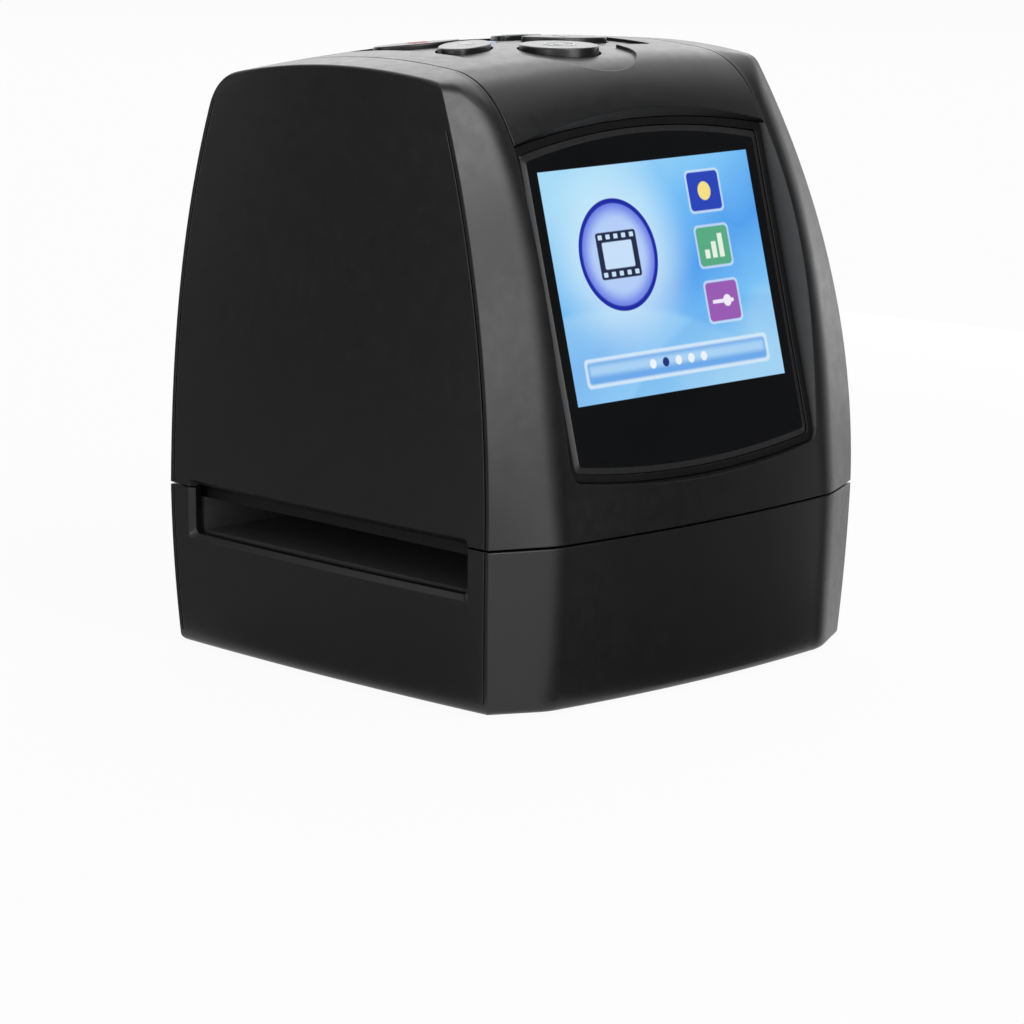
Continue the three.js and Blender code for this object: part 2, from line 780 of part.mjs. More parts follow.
function roundAlongY(radius, x, z, y0, y1, sides = smallSides) {
  const geometry = new THREE.CylinderGeometry(radius, radius, y1 - y0, sides);
  geometry.translate(x, (y0 + y1) / 2, z);
  return toSolid(geometry);
}

function socketCutters() {
  const start = rearSurface(usbPlace, usbMiddle) - wall - overrun;
  const usbHalf = usbCutWidth / 2;
  const usbRise = usbCutHeight / 2;
  const usb = block(
    usbPlace - usbHalf, usbPlace + usbHalf, start, everywhere, usbMiddle - usbRise, usbMiddle + usbRise,
  );
  const jack = roundAlongY(jackRadius + fitGap, jackPlace, jackMiddle, start, everywhere, roundSides);
  return join(usb, jack);
}

function baseShell() {
  const outer = baseForm(0, baseBottom, baseTop, outsideSteps);
  const inner = baseForm(wall, floorTop, seam + overrun);
  const bosses = screwPlaces.map(([x, y]) => wallBoss(x, y, floorTop - wall / 2, seam));
  const posts = [];
  for (const y of [-trackPostY, trackPostY]) {
    for (const x of [-trackPostX, trackPostX]) {
      posts.push(rod(trackPostRadius, x, y, floorTop - wall / 2, trackBottom));
    }
  }
  for (const x of [-socketPostX, socketPostX]) {
    posts.push(rod(socketPostRadius, x, socketPostY, floorTop - wall / 2, socketBoardBottom));
  }
  const lightX = frameWidth / 2;
  const lightY = frameDepth / 2;
  for (const y of [-lightY, lightY]) {
    for (const x of [-lightX, lightX]) {
      posts.push(rod(socketPostRadius, x, y, floorTop - wall / 2, floorTop + lightPostHeight));
    }
  }
  const core = baseForm(wall / 2, baseBottom + wall / 2, seam + overrun);
  const inside = common(core, join(bosses[0], ...bosses.slice(1), ...posts));
  const holes = screwPlaces.map(([x, y]) => join(
    rod(screwHead + fitGap, x, y, baseBottom - overrun, baseBottom + screwSink),
    rod(screwRadius + fitGap, x, y, baseBottom, seam + overrun),
  ));
  const footTop = baseBottom + footSink;
  const feet = footPlaces().map(([x, y]) => rod(footRadius, x, y, -overrun, footTop, roundSides));
  return cut(join(cut(outer, inner), inside), slotCutter(), socketCutters(), ...holes, ...feet);
}

// Turns a prism drawn across Y and Z and standing along its own Z to run along X
function alongX(solid) {
  const turn = new THREE.Matrix4().makeBasis(
    new THREE.Vector3(0, 1, 0),
    new THREE.Vector3(0, 0, 1),
    new THREE.Vector3(1, 0, 0),
  );
  return toSolid(toGeometry(solid).applyMatrix4(turn));
}

// Curved rail under one edge of the cover, joined to the skin beside it
function ledgeRail(side, under) {
  const strip = (fromX, toX, topDrop) => {
    const x = (fromX + toX) / 2;
    const top = planAt(crest, 0);
    const ledgeFront = faceTopRound + ledgeSetback - top.front;
    const ledgeRear = top.rear - rearTopRound - wall - ledgeSetback;
    const line = (drop) => Array.from({ length: ledgeSteps + 1 }, (_, i) => {
      const y = ledgeFront + (ledgeRear - ledgeFront) * i / ledgeSteps;
      return new THREE.Vector2(y, topAt(x, y) - drop);
    });
    const low = wall + fitGap + ledgeThickness;
    const shape = new THREE.Shape([...line(low), ...line(topDrop).reverse()]);
    return alongX(prism(shape, Math.min(side * fromX, side * toX), Math.max(side * fromX, side * toX)));
  };
  const edge = coverHalfWidth + fitGap;
  return join(
    common(under, strip(coverHalfWidth - coverLedge, edge + coverLedge, wall / 2)),
    strip(edge, edge + coverLedge, wall / 2),
  );
}

function upperShell() {
  const outer = upperForm(0, 0, upperFoot, outsideSteps);
  const inner = upperForm(wall, wall, upperFoot - overrun);
  const under = upperForm(wall + fitGap, wall + fitGap, upperFoot - overrun);
  const strip = coverStrip(fitGap);
  const collar = windowCollar();
  const skin = cut(join(cut(outer, inner), common(outer, collar)), strip);
  const bosses = screwPlaces.map(([x, y]) => wallBoss(x, y, seam, seam + upperBossHeight));
  const bossZone = common(upperForm(wall / 2, wall / 2, seam - overrun), join(bosses[0], ...bosses.slice(1)));
  const screwTop = baseBottom + screwSink + screwLength;
  const pilots = screwPlaces.map(([x, y]) => rod(screwRadius, x, y, seam - overrun, screwTop));
  const body = join(skin, common(under, collar), ledgeRail(-1, under), ledgeRail(1, under), bossZone);
  return join(cut(body, windowCutter(0), slotCutter(), ...pilots), windowSeat());
}

const keySlope = (key) => {
  const step = padDepth;
  return {
    x: (topAt(key.x + step, key.y) - topAt(key.x - step, key.y)) / (step * 2),
    y: (topAt(key.x, key.y + step) - topAt(key.x, key.y - step)) / (step * 2),
  };
};

// Tilts an upright solid so that its level tops follow the surface at a key
function tiltedAt(key, solid) {
  const slope = keySlope(key);
  const shear = new THREE.Matrix4().makeShear(0, slope.x, 0, slope.y, 0, 0);
  const drop = slope.x * key.x + slope.y * key.y;
  return toSolid(toGeometry(solid).applyMatrix4(shear).translate(0, 0, -drop));
}

const keyBosses = [];
for (const y of [keyBossFront, keyBossRear]) {
  for (const x of [-keyBossX, keyBossX]) keyBosses.push([x, y]);
}

function padCutter() {
  const depthMiddle = (padRear + padFront) / 2;
  const pad = rectangle(padHalfWidth, (padRear - padFront) / 2, padCorner);
  const low = crest - overrun;
  const high = crest + topCrown + overrun;
  const flat = toSolid(toGeometry(prism(pad, low, high)).translate(0, depthMiddle, 0));
  const round = rod(padCircle, 0, scanPlace, low, high, roundSides + roundSides);
  return cut(join(flat, round), upperForm(0, padDepth, upperFoot, outsideSteps));
}

function topCover() {
  const outer = upperForm(0, 0, upperFoot, outsideSteps);
  const skin = cut(outer, upperForm(wall, wall, upperFoot - overrun));
  const strip = coverStrip(0);
  const inside = upperForm(wall / 2, wall / 2, upperFoot);
  const bosses = keyBosses.map(([x, y]) => rod(bossRadius, x, y, keyBoardTop, crest + overrun));
  const pilotTop = keyBoardTop + keyScrewLength;
  const pilots = keyBosses.map(([x, y]) => rod(screwRadius, x, y, keyBoardTop - overrun, pilotTop));
  const holes = keys.map((key) => prism(keyShape(key, keyGap), crest - overrun, crest + overrun));
  const lamp = rod(lampRadius + fitGap, 0, lampPlace, crest - overrun, crest + overrun);
  const posts = common(inside, join(bosses[0], ...bosses.slice(1)));
  return cut(join(common(skin, strip), posts), windowCutter(0), padCutter(), lamp, ...holes, ...pilots);
}

// Window pieces

function windowBezel() {
  const frame = prism(windowOutline(-fitGap), -bezelThickness, 0);
  const pocket = prism(windowOutline(-bezelBand), -lensThickness - fitGap, overrun);
  const opening = prism(windowOutline(-bezelBand - bezelLedge), -bezelThickness - overrun, overrun);
  return cut(frame, pocket, opening);
}

function displayLens() {
  const edge = -bezelBand - fitGap;
  const plate = prism(windowOutline(edge), -lensThickness, -lensBevelDepth);
  return join(plate, taperedPrism(windowOutline(edge), -lensBevelDepth, windowOutline(edge - lensBevel), 0));
}

const displayFront = -bezelThickness - fitGap;
const displayBack = displayFront - displayThickness;
const bracketBack = displayBack - fitGap - bracketFloor;
const mainBoardFront = bracketBack - standoffLength;
const mainBoardBack = mainBoardFront - boardThickness;

// Place of the back of the main board along Y, at a height of the body
function mainBoardBackAt(z) {
  const plane = windowDepth - planAt(windowHeight, 0).front + (z - windowHeight) * Math.tan(lean);
  return plane - mainBoardBack / Math.cos(lean);
}

function onScreen(solid) {
  return toSolid(toGeometry(solid).translate(0, screenRise, 0));
}

const lcdPanel = () => onScreen(plate(displayHalfWidth, displayHalfHeight, displayBack, displayFront));

function lcdBracket() {
  const pocketX = displayHalfWidth + fitGap;
  const pocketY = displayHalfHeight + fitGap;
  const outline = rectangle(pocketX + bracketRim, pocketY + bracketRim, bracketRadius);
  const tray = cut(
    prism(outline, bracketBack, -collarDepth - fitGap, cornerSteps),
    plate(pocketX, pocketY, displayBack - fitGap, overrun),
    plate(displayHalfWidth / 2, displayHalfHeight / 2, bracketBack - overrun, overrun),
  );
  const x = mainBoardHalfWidth - standoffInset;
  const y = mainBoardHalfHeight - standoffInset;
  const front = bracketBack + bracketFloor / 2;
  const standoffs = [];
  for (const v of [-y, y]) {
    for (const u of [-x, x]) standoffs.push(rod(standoffRadius, u, v, mainBoardFront + fitGap, front));
  }
  return onScreen(join(tray, ...standoffs));
}

function mainBoard() {
  const board = plate(mainBoardHalfWidth, mainBoardHalfHeight, mainBoardBack, mainBoardFront);
  const chip = plate(chipSize / 2, chipSize / 2, mainBoardBack - chipHeight, mainBoardFront);
  const smallChip = block(
    chipSize / 2 - mainBoardHalfWidth, -chipSize, chipSize / 2, chipSize,
    mainBoardBack - chipHeight, mainBoardFront,
  );
  return onScreen(join(board, chip, smallChip));
}

// Film passage

const railInner = slotHalfLength + railGap;
const railOuter = railInner + railThickness;

function clickHousing(x) {
  const half = clickRadius + fitGap + clickWall;
  const back = -railInner + clickReach - clickLength - springLength;
  return block(x - half, x + half, back - clickWall, -railInner, trackBottom, gateFloor - fitGap);
}

function clickBore(x) {
  const back = -railInner + clickReach - clickLength - springLength;
  return roundAlongY(clickRadius + fitGap, x, trackFloor + passageHeight / 2, back, 0);
}

function filmTrack() {
  const floor = plate(trackHalfLength, railOuter, trackBottom, trackFloor);
  const rails = cut(
    plate(trackHalfLength, railOuter, trackBottom, gateFloor),
    plate(trackHalfLength + overrun, railInner, trackBottom, gateFloor + overrun),
  );
  const housings = [-clickPlace, clickPlace].map(clickHousing);
  const bores = [-clickPlace, clickPlace].map(clickBore);
  const frame = plate(frameWidth / 2, frameDepth / 2, trackBottom - overrun, trackFloor + overrun);
  const roomRadius = screwBoss + fitGap;
  const bossRoom = screwPlaces.map(([x, y]) => rod(roomRadius, x, y, trackBottom - overrun, seam + overrun));
  return cut(join(floor, rails, ...housings), frame, ...bores, ...bossRoom);
}

function upperFilmGate() {
  const plateSolid = plate(gateHalfLength, railOuter, gateFloor, gateTop);
  const walls = [-1, 1].map((side) => {
    const x0 = side * gateHalfLength;
    const x1 = side * (gateHalfLength - gateThickness);
    const rear = railOuter - gateWallRearGap;
    return block(Math.min(x0, x1), Math.max(x0, x1), -railOuter, rear, gateFloor, gateTop + gateWallHeight);
  });
  const frame = plate(frameWidth / 2, frameDepth / 2, gateFloor - overrun, gateTop + overrun);
  const roomRadius = screwBoss + fitGap;
  const bossRoom = screwPlaces.map(([x, y]) => rod(roomRadius, x, y, gateFloor - overrun, gateTop + overrun));
  return cut(join(plateSolid, ...walls), frame, ...bossRoom);
}

// Light

const lightBoardBottom = floorTop + lightPostHeight;
const lightBoardTop = lightBoardBottom + boardThickness;
const lightBoxTop = trackBottom - diffuserThickness;

// A square funnel open at both ends
function funnel(x0, y0, z0, x1, y1, z1) {
  const outer = taperedPrism(rectangle(x0, y0, wall), z0, rectangle(x1, y1, wall), z1, cornerSteps);
  const slopeX = (x1 - x0) / (z1 - z0);
  const slopeY = (y1 - y0) / (z1 - z0);
  const low = rectangle(x0 - thinWall - slopeX * overrun, y0 - thinWall - slopeY * overrun, wall / 2);
  const high = rectangle(x1 - thinWall + slopeX * overrun, y1 - thinWall + slopeY * overrun, wall / 2);
  return cut(outer, taperedPrism(low, z0 - overrun, high, z1 + overrun, cornerSteps));
}

function lightBox() {
  const lowX = lightHalfX - lightBoxTaper;
  const lowY = lightHalfY - lightBoxTaper;
  return funnel(lowX, lowY, lightBoardTop, lightHalfX, lightHalfY, lightBoxTop);
}

function backlightBoard() {
  const halfX = lightHalfX - lightBoxTaper + lightBoardMargin;
  const board = plate(halfX, lightHalfY, lightBoardBottom, lightBoardTop);
  const leds = [];
  for (let row = 0; row < ledRows; row++) {
    for (let column = 0; column < ledColumns; column++) {
      const x = (column - (ledColumns - 1) / 2) * ledPitch;
      const y = (row - (ledRows - 1) / 2) * ledPitch;
      const half = ledSize / 2;
      leds.push(block(x - half, x + half, y - half, y + half, lightBoardBottom, lightBoardTop + ledHeight));
    }
  }
  return join(board, ...leds);
}

// Camera

const towerTop = gateTop + towerHeight;
const towerFootX = frameWidth / 2 + towerMargin;
const towerFootY = frameDepth / 2 + towerMargin;
const holderTop = towerTop + holderHeight;
const barrelTop = towerTop - barrelDrop + barrelHeight;

function opticalTower() {
  const body = funnel(towerFootX, towerFootY, gateTop, towerTopHalf, towerTopHalf, towerTop);
  const lid = plate(towerTopHalf - thinWall / 2, towerTopHalf - thinWall / 2, towerTop - wall, towerTop);
  const flange = cut(
    plate(towerFootX + towerFlange, towerFootY + towerFlange, gateTop, gateTop + thinWall),
    plate(towerFootX - thinWall, towerFootY - thinWall, gateTop - overrun, gateTop + overrun),
  );
  const bore = rod(barrelRadius + fitGap, 0, 0, towerTop - overrun, towerTop + overrun, roundSides);
  return cut(join(body, lid, flange), bore);
}

function lensHolder() {
  const body = prism(rectangle(holderHalf, holderHalf, wall), towerTop, holderTop, cornerSteps);
  const chamber = sensorSize / 2 + fitGap;
  return cut(
    body,
    rod(barrelRadius, 0, 0, towerTop - overrun, barrelTop, roundSides),
    plate(chamber, chamber, barrelTop - fitGap, holderTop + overrun),
  );
}

function lensBarrel() {
  const bottom = towerTop - barrelDrop;
  const profile = [
    [0, bottom + barrelBoreDepth], [barrelBore / 2, bottom + barrelBoreDepth], [barrelBore, bottom],
    [barrelRadius - fitGap, bottom], [barrelRadius - fitGap, towerTop - wall], [barrelRadius, towerTop],
    [barrelRadius, barrelTop - fitGap], [0, barrelTop - fitGap],
  ];
  const geometry = new THREE.LatheGeometry(profile.map(([x, y]) => new THREE.Vector2(x, y)), roundSides);
  return toSolid(geometry.rotateX(Math.PI / 2));
}

const cameraBoardHalf = -mainBoardBackAt(holderTop) - cameraClearance;
const cameraBoard = () => plate(cameraBoardHalf, cameraBoardHalf, holderTop, holderTop + boardThickness);
const imageSensor = () => plate(sensorSize / 2, sensorSize / 2, holderTop - sensorHeight, holderTop);

// Keys and what they press

const keyTop = (key) => topAt(key.x, key.y);
const keyFlangeTop = (key) => keyTop(key) - wall - fitGap;
const plungerTop = keyBoardTop + switchHeight + switchStemProud;

function keyButton(key) {
  const top = keyTop(key) + (key.round ? scanProud : leafProud);
  const flangeTop = keyFlangeTop(key);
  const cap = prism(keyShape(key, 0), flangeTop - keyFlangeThickness, top - keyBevel);
  const bevel = taperedPrism(keyShape(key, 0), top - keyBevel, keyShape(key, -keyBevel), top);
  const flange = prism(keyShape(key, keyFlange), flangeTop - keyFlangeThickness, flangeTop);
  const stem = rod(stemRadius, key.x, key.y, plungerTop, flangeTop);
  return join(tiltedAt(key, join(cap, bevel, flange)), stem);
}

function switchBody(key) {
  const half = switchSize / 2;
  const top = keyBoardTop + switchHeight;
  const body = block(key.x - half, key.x + half, key.y - half, key.y + half, keyBoardTop, top);
  const well = top - switchWell;
  return cut(body, rod(switchStemRadius + fitGap, key.x, key.y, well, plungerTop));
}

function switchPlunger(key) {
  const bottom = keyBoardTop + switchHeight - switchWell + keyTravel + fitGap;
  return rod(switchStemRadius, key.x, key.y, bottom, plungerTop);
}

function keyBoard() {
  const half = keyBoardHalfWidth;
  const board = block(-half, half, keyBoardFront, keyBoardRear, keyBoardBottom, keyBoardTop);
  const chipTop = keyBoardTop + lampChipHeight;
  const chip = block(
    -lampRadius, lampRadius, lampPlace - lampRadius, lampPlace + lampRadius, keyBoardBottom, chipTop,
  );
  const hole = ([x, y]) => rod(screwRadius + fitGap, x, y, keyBoardBottom - overrun, keyBoardTop + overrun);
  const holes = keyBosses.map(hole);
  return cut(join(board, chip), ...holes);
}

function statusLightPipe() {
  const top = topAt(0, lampPlace) - padDepth;
  const flangeTop = topAt(0, lampPlace) - wall - fitGap;
  return join(
    rod(lampRadius, 0, lampPlace, keyBoardTop + lampChipHeight, top),
    rod(lampRadius + lampFlange, 0, lampPlace, flangeTop - keyFlangeThickness, flangeTop),
  );
}

function keyScrew([x, y]) {
  return join(
    rod(screwRadius, x, y, keyBoardBottom, keyBoardTop + keyScrewLength - fitGap),
    rod(screwHead, x, y, keyBoardBottom - screwHeadHeight, keyBoardBottom),
  );
}

function caseScrew([x, y]) {
  const seat = baseBottom + screwSink;
  return join(
    rod(screwRadius, x, y, seat, seat + screwLength - fitGap),
    rod(screwHead, x, y, seat - screwHeadHeight, seat),
  );
}

// Sockets

const socketBoard = () =>
  block(-socketBoardHalf, socketBoardHalf, socketBoardFront, socketBoardRear, socketBoardBottom, socketTop);

function usbSocket() {
  const half = usbWidth / 2;
  const inner = half - usbShell;
  const top = socketTop + usbHeight;
  const shell = block(usbPlace - half, usbPlace + half, usbMouth - usbDepth, usbMouth, socketTop, top);
  const mouth = block(
    usbPlace - inner, usbPlace + inner, usbMouth - usbDepth * (1 - usbShell / usbHeight), usbMouth + overrun,
    socketTop + usbShell, socketTop + usbHeight - usbShell,
  );
  const tongueHalf = inner * (1 - usbTongueShare);
  const tongueRise = usbHeight * usbTongueShare / 4;
  const tongue = block(
    usbPlace - tongueHalf, usbPlace + tongueHalf, usbMouth - usbDepth, usbMouth - socketSetback,
    usbMiddle - tongueRise, usbMiddle + tongueRise,
  );
  return join(cut(shell, mouth), tongue);
}

function tvJack() {
  const half = jackWidth / 2;
  const bodyFront = jackMouth - jackNose;
  const top = socketTop + jackHeight;
  const body = block(jackPlace - half, jackPlace + half, bodyFront - jackDepth, bodyFront, socketTop, top);
  const nose = roundAlongY(jackRadius, jackPlace, jackMiddle, bodyFront - jackNose, jackMouth, roundSides);
  const bore = roundAlongY(jackBore, jackPlace, jackMiddle, jackMouth - jackBoreDepth, jackMouth + overrun);
  return cut(join(body, nose), bore);
}

// Click stops

const clickMiddle = trackFloor + passageHeight / 2;

function clickPlunger(x) {
  const tip = -railInner + clickReach;
  const radius = clickRadius;
  const foot = tip - clickLength;
  const profile = [[0, foot], [radius, foot], [radius, tip - clickTip], [radius / 2, tip], [0, tip]];
  const geometry = new THREE.LatheGeometry(profile.map(([r, y]) => new THREE.Vector2(r, y)), smallSides);
  return toSolid(geometry.translate(x, 0, clickMiddle));
}

class Helix extends THREE.Curve {
  constructor(x, y0, y1, z, radius, turns) {
    super();
    Object.assign(this, { x, y0, y1, z, radius, turns });
  }

  getPoint(t, target = new THREE.Vector3()) {
    const angle = t * this.turns * Math.PI * 2;
    const y = this.y0 + (this.y1 - this.y0) * t;
    return target.set(this.x + this.radius * Math.cos(angle), y, this.z + this.radius * Math.sin(angle));
  }
}

function clickSpring(x) {
  const back = -railInner + clickReach - clickLength - springLength;
  const clear = springWire + fitGap / 2;
  const end = back + springLength - clear;
  const curve = new Helix(x, back + clear, end, clickMiddle, clickRadius - springWire, springTurns);
  const wire = polygonShape(springWire, springSides);
  const settings = { steps: springSteps * springTurns, extrudePath: curve, bevelEnabled: false };
  return toSolid(new THREE.ExtrudeGeometry(wire, settings));
}

// A flat cable through points given across Y and Z, between two places along X
function ribbon(points, x) {
  const path = points.map(([y, z]) => new THREE.Vector2(y, z));
  const side = (sign) => path.map((p, i) => {
    const before = path[Math.max(i - 1, 0)];
    const after = path[Math.min(i + 1, path.length - 1)];
    const along = after.clone().sub(before).normalize();
    const aside = sign * ribbonThickness / 2;
    return new THREE.Vector2(p.x - along.y * aside, p.y + along.x * aside);
  });
  const shape = new THREE.Shape([...side(1), ...side(-1).reverse()]);
  return alongX(prism(shape, x - ribbonWidth / 2, x + ribbonWidth / 2));
}

// Places on the back of the main board, as Y and Z in the body
function behindBoard(v, gap) {
  const p = new THREE.Vector3(0, v + screenRise, mainBoardBack - gap).applyMatrix4(windowPlane);
  return [p.y, p.z];
}

function keyRibbon() {
  const [y, z] = behindBoard(mainBoardHalfHeight * keyRibbonShare, fitGap + ribbonThickness);
  return ribbon([
    [keyBoardFront + ribbonSlack, keyBoardBottom - fitGap],
    [keyBoardFront + ribbonSlack, keyBoardBottom - ribbonSlack],
    [y + ribbonSlack / 2, z + ribbonSlack],
    [y, z],
  ], -keyBoardHalfWidth / 2);
}

function cameraRibbon() {
  const [y, z] = behindBoard(mainBoardHalfHeight * cameraRibbonShare, fitGap);
  const boardTop = holderTop + boardThickness + fitGap + ribbonThickness / 2;
  return ribbon([
    [-cameraBoardHalf + ribbonSlack, boardTop],
    [-cameraBoardHalf, boardTop],
    [y, z],
  ], 0);
}

// The whole part

addPart('base_shell', baseShell(), shellPlastic);
addPart('upper_shell', upperShell(), shellPlastic);
addPart('top_cover', topCover(), shellPlastic);

addPart('window_bezel', windowBezel(), shellPlastic, windowPlane);
addPart('display_lens', displayLens(), glossPanel, windowPlane);
addPart('lcd_panel', lcdPanel(), displayGlass, windowPlane);
addPart('lcd_bracket', lcdBracket(), innerPlastic, windowPlane);
addPart('main_board', mainBoard(), boardGreen, windowPlane);

addPart('film_track', filmTrack(), innerPlastic);
addPart('upper_film_gate', upperFilmGate(), innerPlastic);
addPart('diffuser', plate(lightHalfX, lightHalfY, lightBoxTop, trackBottom), diffuserWhite);
addPart('light_box', lightBox(), palePlastic);
addPart('backlight_board', backlightBoard(), boardGreen);

addPart('optical_tower', opticalTower(), innerPlastic);
addPart('lens_holder', lensHolder(), innerPlastic);
addPart('lens_barrel', lensBarrel(), steel);
addPart('camera_board', cameraBoard(), boardGreen);
addPart('image_sensor', imageSensor(), glossPanel);

addPart('key_board', keyBoard(), boardGreen);
for (const key of keys) {
  addPart(`${key.name}_button`, keyButton(key), keyPlastic);
  addPart(`${key.name}_switch`, switchBody(key), innerPlastic);
  addPart(`${key.name}_switch_plunger`, switchPlunger(key), palePlastic);
}
addPart('status_light_pipe', statusLightPipe(), lampPlastic);
keyBosses.forEach((place, i) => addPart(`key_screw_${i + 1}`, keyScrew(place), steel));

addPart('socket_board', socketBoard(), boardGreen);
addPart('usb_socket', usbSocket(), steel);
addPart('tv_jack', tvJack(), innerPlastic);

[-clickPlace, clickPlace].forEach((x, i) => {
  addPart(`click_plunger_${i + 1}`, clickPlunger(x), palePlastic);
  addPart(`click_spring_${i + 1}`, clickSpring(x), steel);
});

addPart('key_ribbon', keyRibbon(), cableGrey);
addPart('camera_ribbon', cameraRibbon(), cableGrey);

footPlaces().forEach(([x, y], i) => {
  addPart(`foot_${i + 1}`, rod(footRadius - fitGap, x, y, 0, baseBottom + footSink, roundSides), blackRubber);
});
screwPlaces.forEach((place, i) => addPart(`case_screw_${i + 1}`, caseScrew(place), steel));

export default group;
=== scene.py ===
"""Film negative scanner: the dressed model, on a pale floor under soft light.

Lengths are millimetres in the same frame as the part, and `rows_in` turns them into metres.
Lamps, cards and the floor are placed in metres.
"""
import json
import math
from math import cos, pi, sin

import bmesh
import bpy
from mathutils import Matrix, Vector

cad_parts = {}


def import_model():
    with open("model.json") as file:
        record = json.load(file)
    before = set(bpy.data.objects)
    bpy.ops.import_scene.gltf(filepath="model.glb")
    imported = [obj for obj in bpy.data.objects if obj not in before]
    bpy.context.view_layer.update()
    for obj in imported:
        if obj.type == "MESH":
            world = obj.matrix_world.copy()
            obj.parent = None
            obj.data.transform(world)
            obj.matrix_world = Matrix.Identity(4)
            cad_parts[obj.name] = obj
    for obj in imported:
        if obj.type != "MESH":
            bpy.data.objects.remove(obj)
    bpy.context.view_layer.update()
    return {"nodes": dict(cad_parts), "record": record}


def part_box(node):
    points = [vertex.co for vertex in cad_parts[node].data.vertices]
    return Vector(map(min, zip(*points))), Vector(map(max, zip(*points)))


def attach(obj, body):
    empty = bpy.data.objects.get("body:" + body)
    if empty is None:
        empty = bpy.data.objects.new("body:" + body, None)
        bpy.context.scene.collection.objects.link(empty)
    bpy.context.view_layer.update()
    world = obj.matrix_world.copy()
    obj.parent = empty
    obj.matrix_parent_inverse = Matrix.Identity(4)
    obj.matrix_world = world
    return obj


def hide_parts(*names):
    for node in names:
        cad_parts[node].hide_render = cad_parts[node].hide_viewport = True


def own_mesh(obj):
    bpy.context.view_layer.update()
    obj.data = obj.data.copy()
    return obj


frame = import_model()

MM = 0.001

# Sizes of the part; the lengths are in millimetres
FIT = 0.3
WALL = 2.0
SCREEN_W, SCREEN_H, SCREEN_RISE = 48.96, 36.72, 3.4
SLOT_HALF, SLOT_FLOOR, SLOT_H, SLOT_BEVEL = 30.8, 19.4, 8.1, 0.9
SEAM = 27.0
BASE_BOTTOM = 0.8
PANEL_HALF, FACE_HALF = 42.99, 32.2
PANEL_FRONT, PANEL_REAR = 35.9, 36.1
PANEL_BOW, FACE_BOW = 1.0, 1.7
FRONT_BEVEL, REAR_BEVEL = 4.9, 4.7
SOFT = 2.1
LEAN_PANEL, LEAN_FRONT_EDGE, LEAN_FACE, LEAN_REAR = 6.5, 18.9, 21.4, 5.1
BASE_LEAN_PANEL, BASE_LEAN_FRONT, BASE_LEAN_REAR = 1.3, 0.8, 1.4
CROWN, TOP_RADIUS, CREST_Y = 1.7, 130.0, -1.0
FACE_ROUND, PANEL_ROUND, REAR_ROUND, EDGE_ROUND = 6.5, 1.5, 4.5, 0.5
BASE_ROUND = 1.2

LEAN = math.radians(15.5)
WINDOW_HALF = 28.9
HEAD, HEAD_DOME, FOOT, FOOT_DOME = 26.1, 2.5, 26.6, 1.8
WINDOW_Z = SEAM + 9.07 + FOOT * cos(LEAN)
COVER_FOOT = WINDOW_Z + HEAD * cos(LEAN)
CREST = COVER_FOOT + 10.65
BASE_H, UPPER_H = SEAM - BASE_BOTTOM, CREST - SEAM
COVER_HALF = 29.0
BEZEL_DEEP, BEZEL_BAND, BEZEL_LEDGE, BEZEL_GAP, BEZEL_ROUND = 2.6, 1.3, 3.0, 0.1, 0.14
LENS_DEEP, LENS_BEVEL, LENS_BEVEL_DEEP, LENS_EDGE = 1.4, 1.0, 0.24, 0.05
COLLAR, COLLAR_DEEP, SEAT = 1.8, 4.0, 2.0
GROOVE_AT, GROOVE_HALF, UPPER_GROOVE, BASE_GROOVE = 0.8, 0.17, 0.7, 0.3
SPRING_WIRE, SPRING_TURNS, SLIDE = 0.2, 4, 0.8
BROW = 10.4  # how far the middle of the recess has widened 8 above the frame
LIP = 0.12  # bevel along the seam
CORNER_SHARE = 0.16  # how much of the front's rounding is left where its soft corner ends
NEAR_FADE, FAR_FADE = 8, 14  # how far the side panel's ends change its upper edge
TOP_MIDDLE = (0, 20)  # point inside the top that every part of its edge faces
LEDGE_IN, LEDGE_OUT, LEDGE_FRONT, LEDGE_REAR, LEDGE_DEEP = 27.4, 30.9, -14, 27, 1.5
REACH = 8  # how far a cutter reaches past a surface

PAD_HALF, PAD_DEEP, PAD_CORNER = 21.0, 0.5, 1.0
SCAN_Y, SCAN_R, LAMP_Y = -8.0, 6.4, 7.2
PAD_FRONT, PAD_REAR, PAD_CIRCLE = -9.0, 19.0, 12.4
LEAF_X, LEAF_Y, LEAF_LONG, LEAF_WIDE = 11.3, 5.4, 14.4, 7.4
LEAF_SHARES = [(-1, 0), (-0.45, 0.85), (0.35, 1), (0.97, 0.45)]
LEAF_PROUD, SCAN_PROUD, KEY_GAP = 0.32, 0.45, 0.4
KEY_ROUND, KEY_DOME, KEY_FLANGE, KEY_STEM_R = 0.35, 0.05, 0.9, 2.0
MARK_LOW, MARK_HIGH = -0.04, 0.05
LAMP_R = 1.0
POST_X, POST_FRONT, POST_REAR, POST_R, PILOT_R = 22, -10, 18.5, 2.3, 1.1
KEY_BOARD_TOP = CREST - 10.1 + 1.6
PLUNGER_TOP = KEY_BOARD_TOP + 3 + 1.2

SCREW_X, SCREW_Y, SCREW_SINK = 28.0, 35.6, 6.0
HEAD_HOLE_R, SHANK_HOLE_R, BOSS_R, WEB_HALF = 2.3, 1.4, 2.7, 0.7
FOOT_X, FOOT_Y, FOOT_R = 34.4, 28.6, 3.9
USB_X, USB_W, USB_H, USB_DEEP = 9.0, 7.7, 3.95, 9.2
JACK_X, JACK_R, JACK_H = -9.0, 3.0, 6.0
SOCKET_TOP = 7.2 + 1.6
USB_Z, JACK_Z = SOCKET_TOP + USB_H / 2, SOCKET_TOP + JACK_H / 2

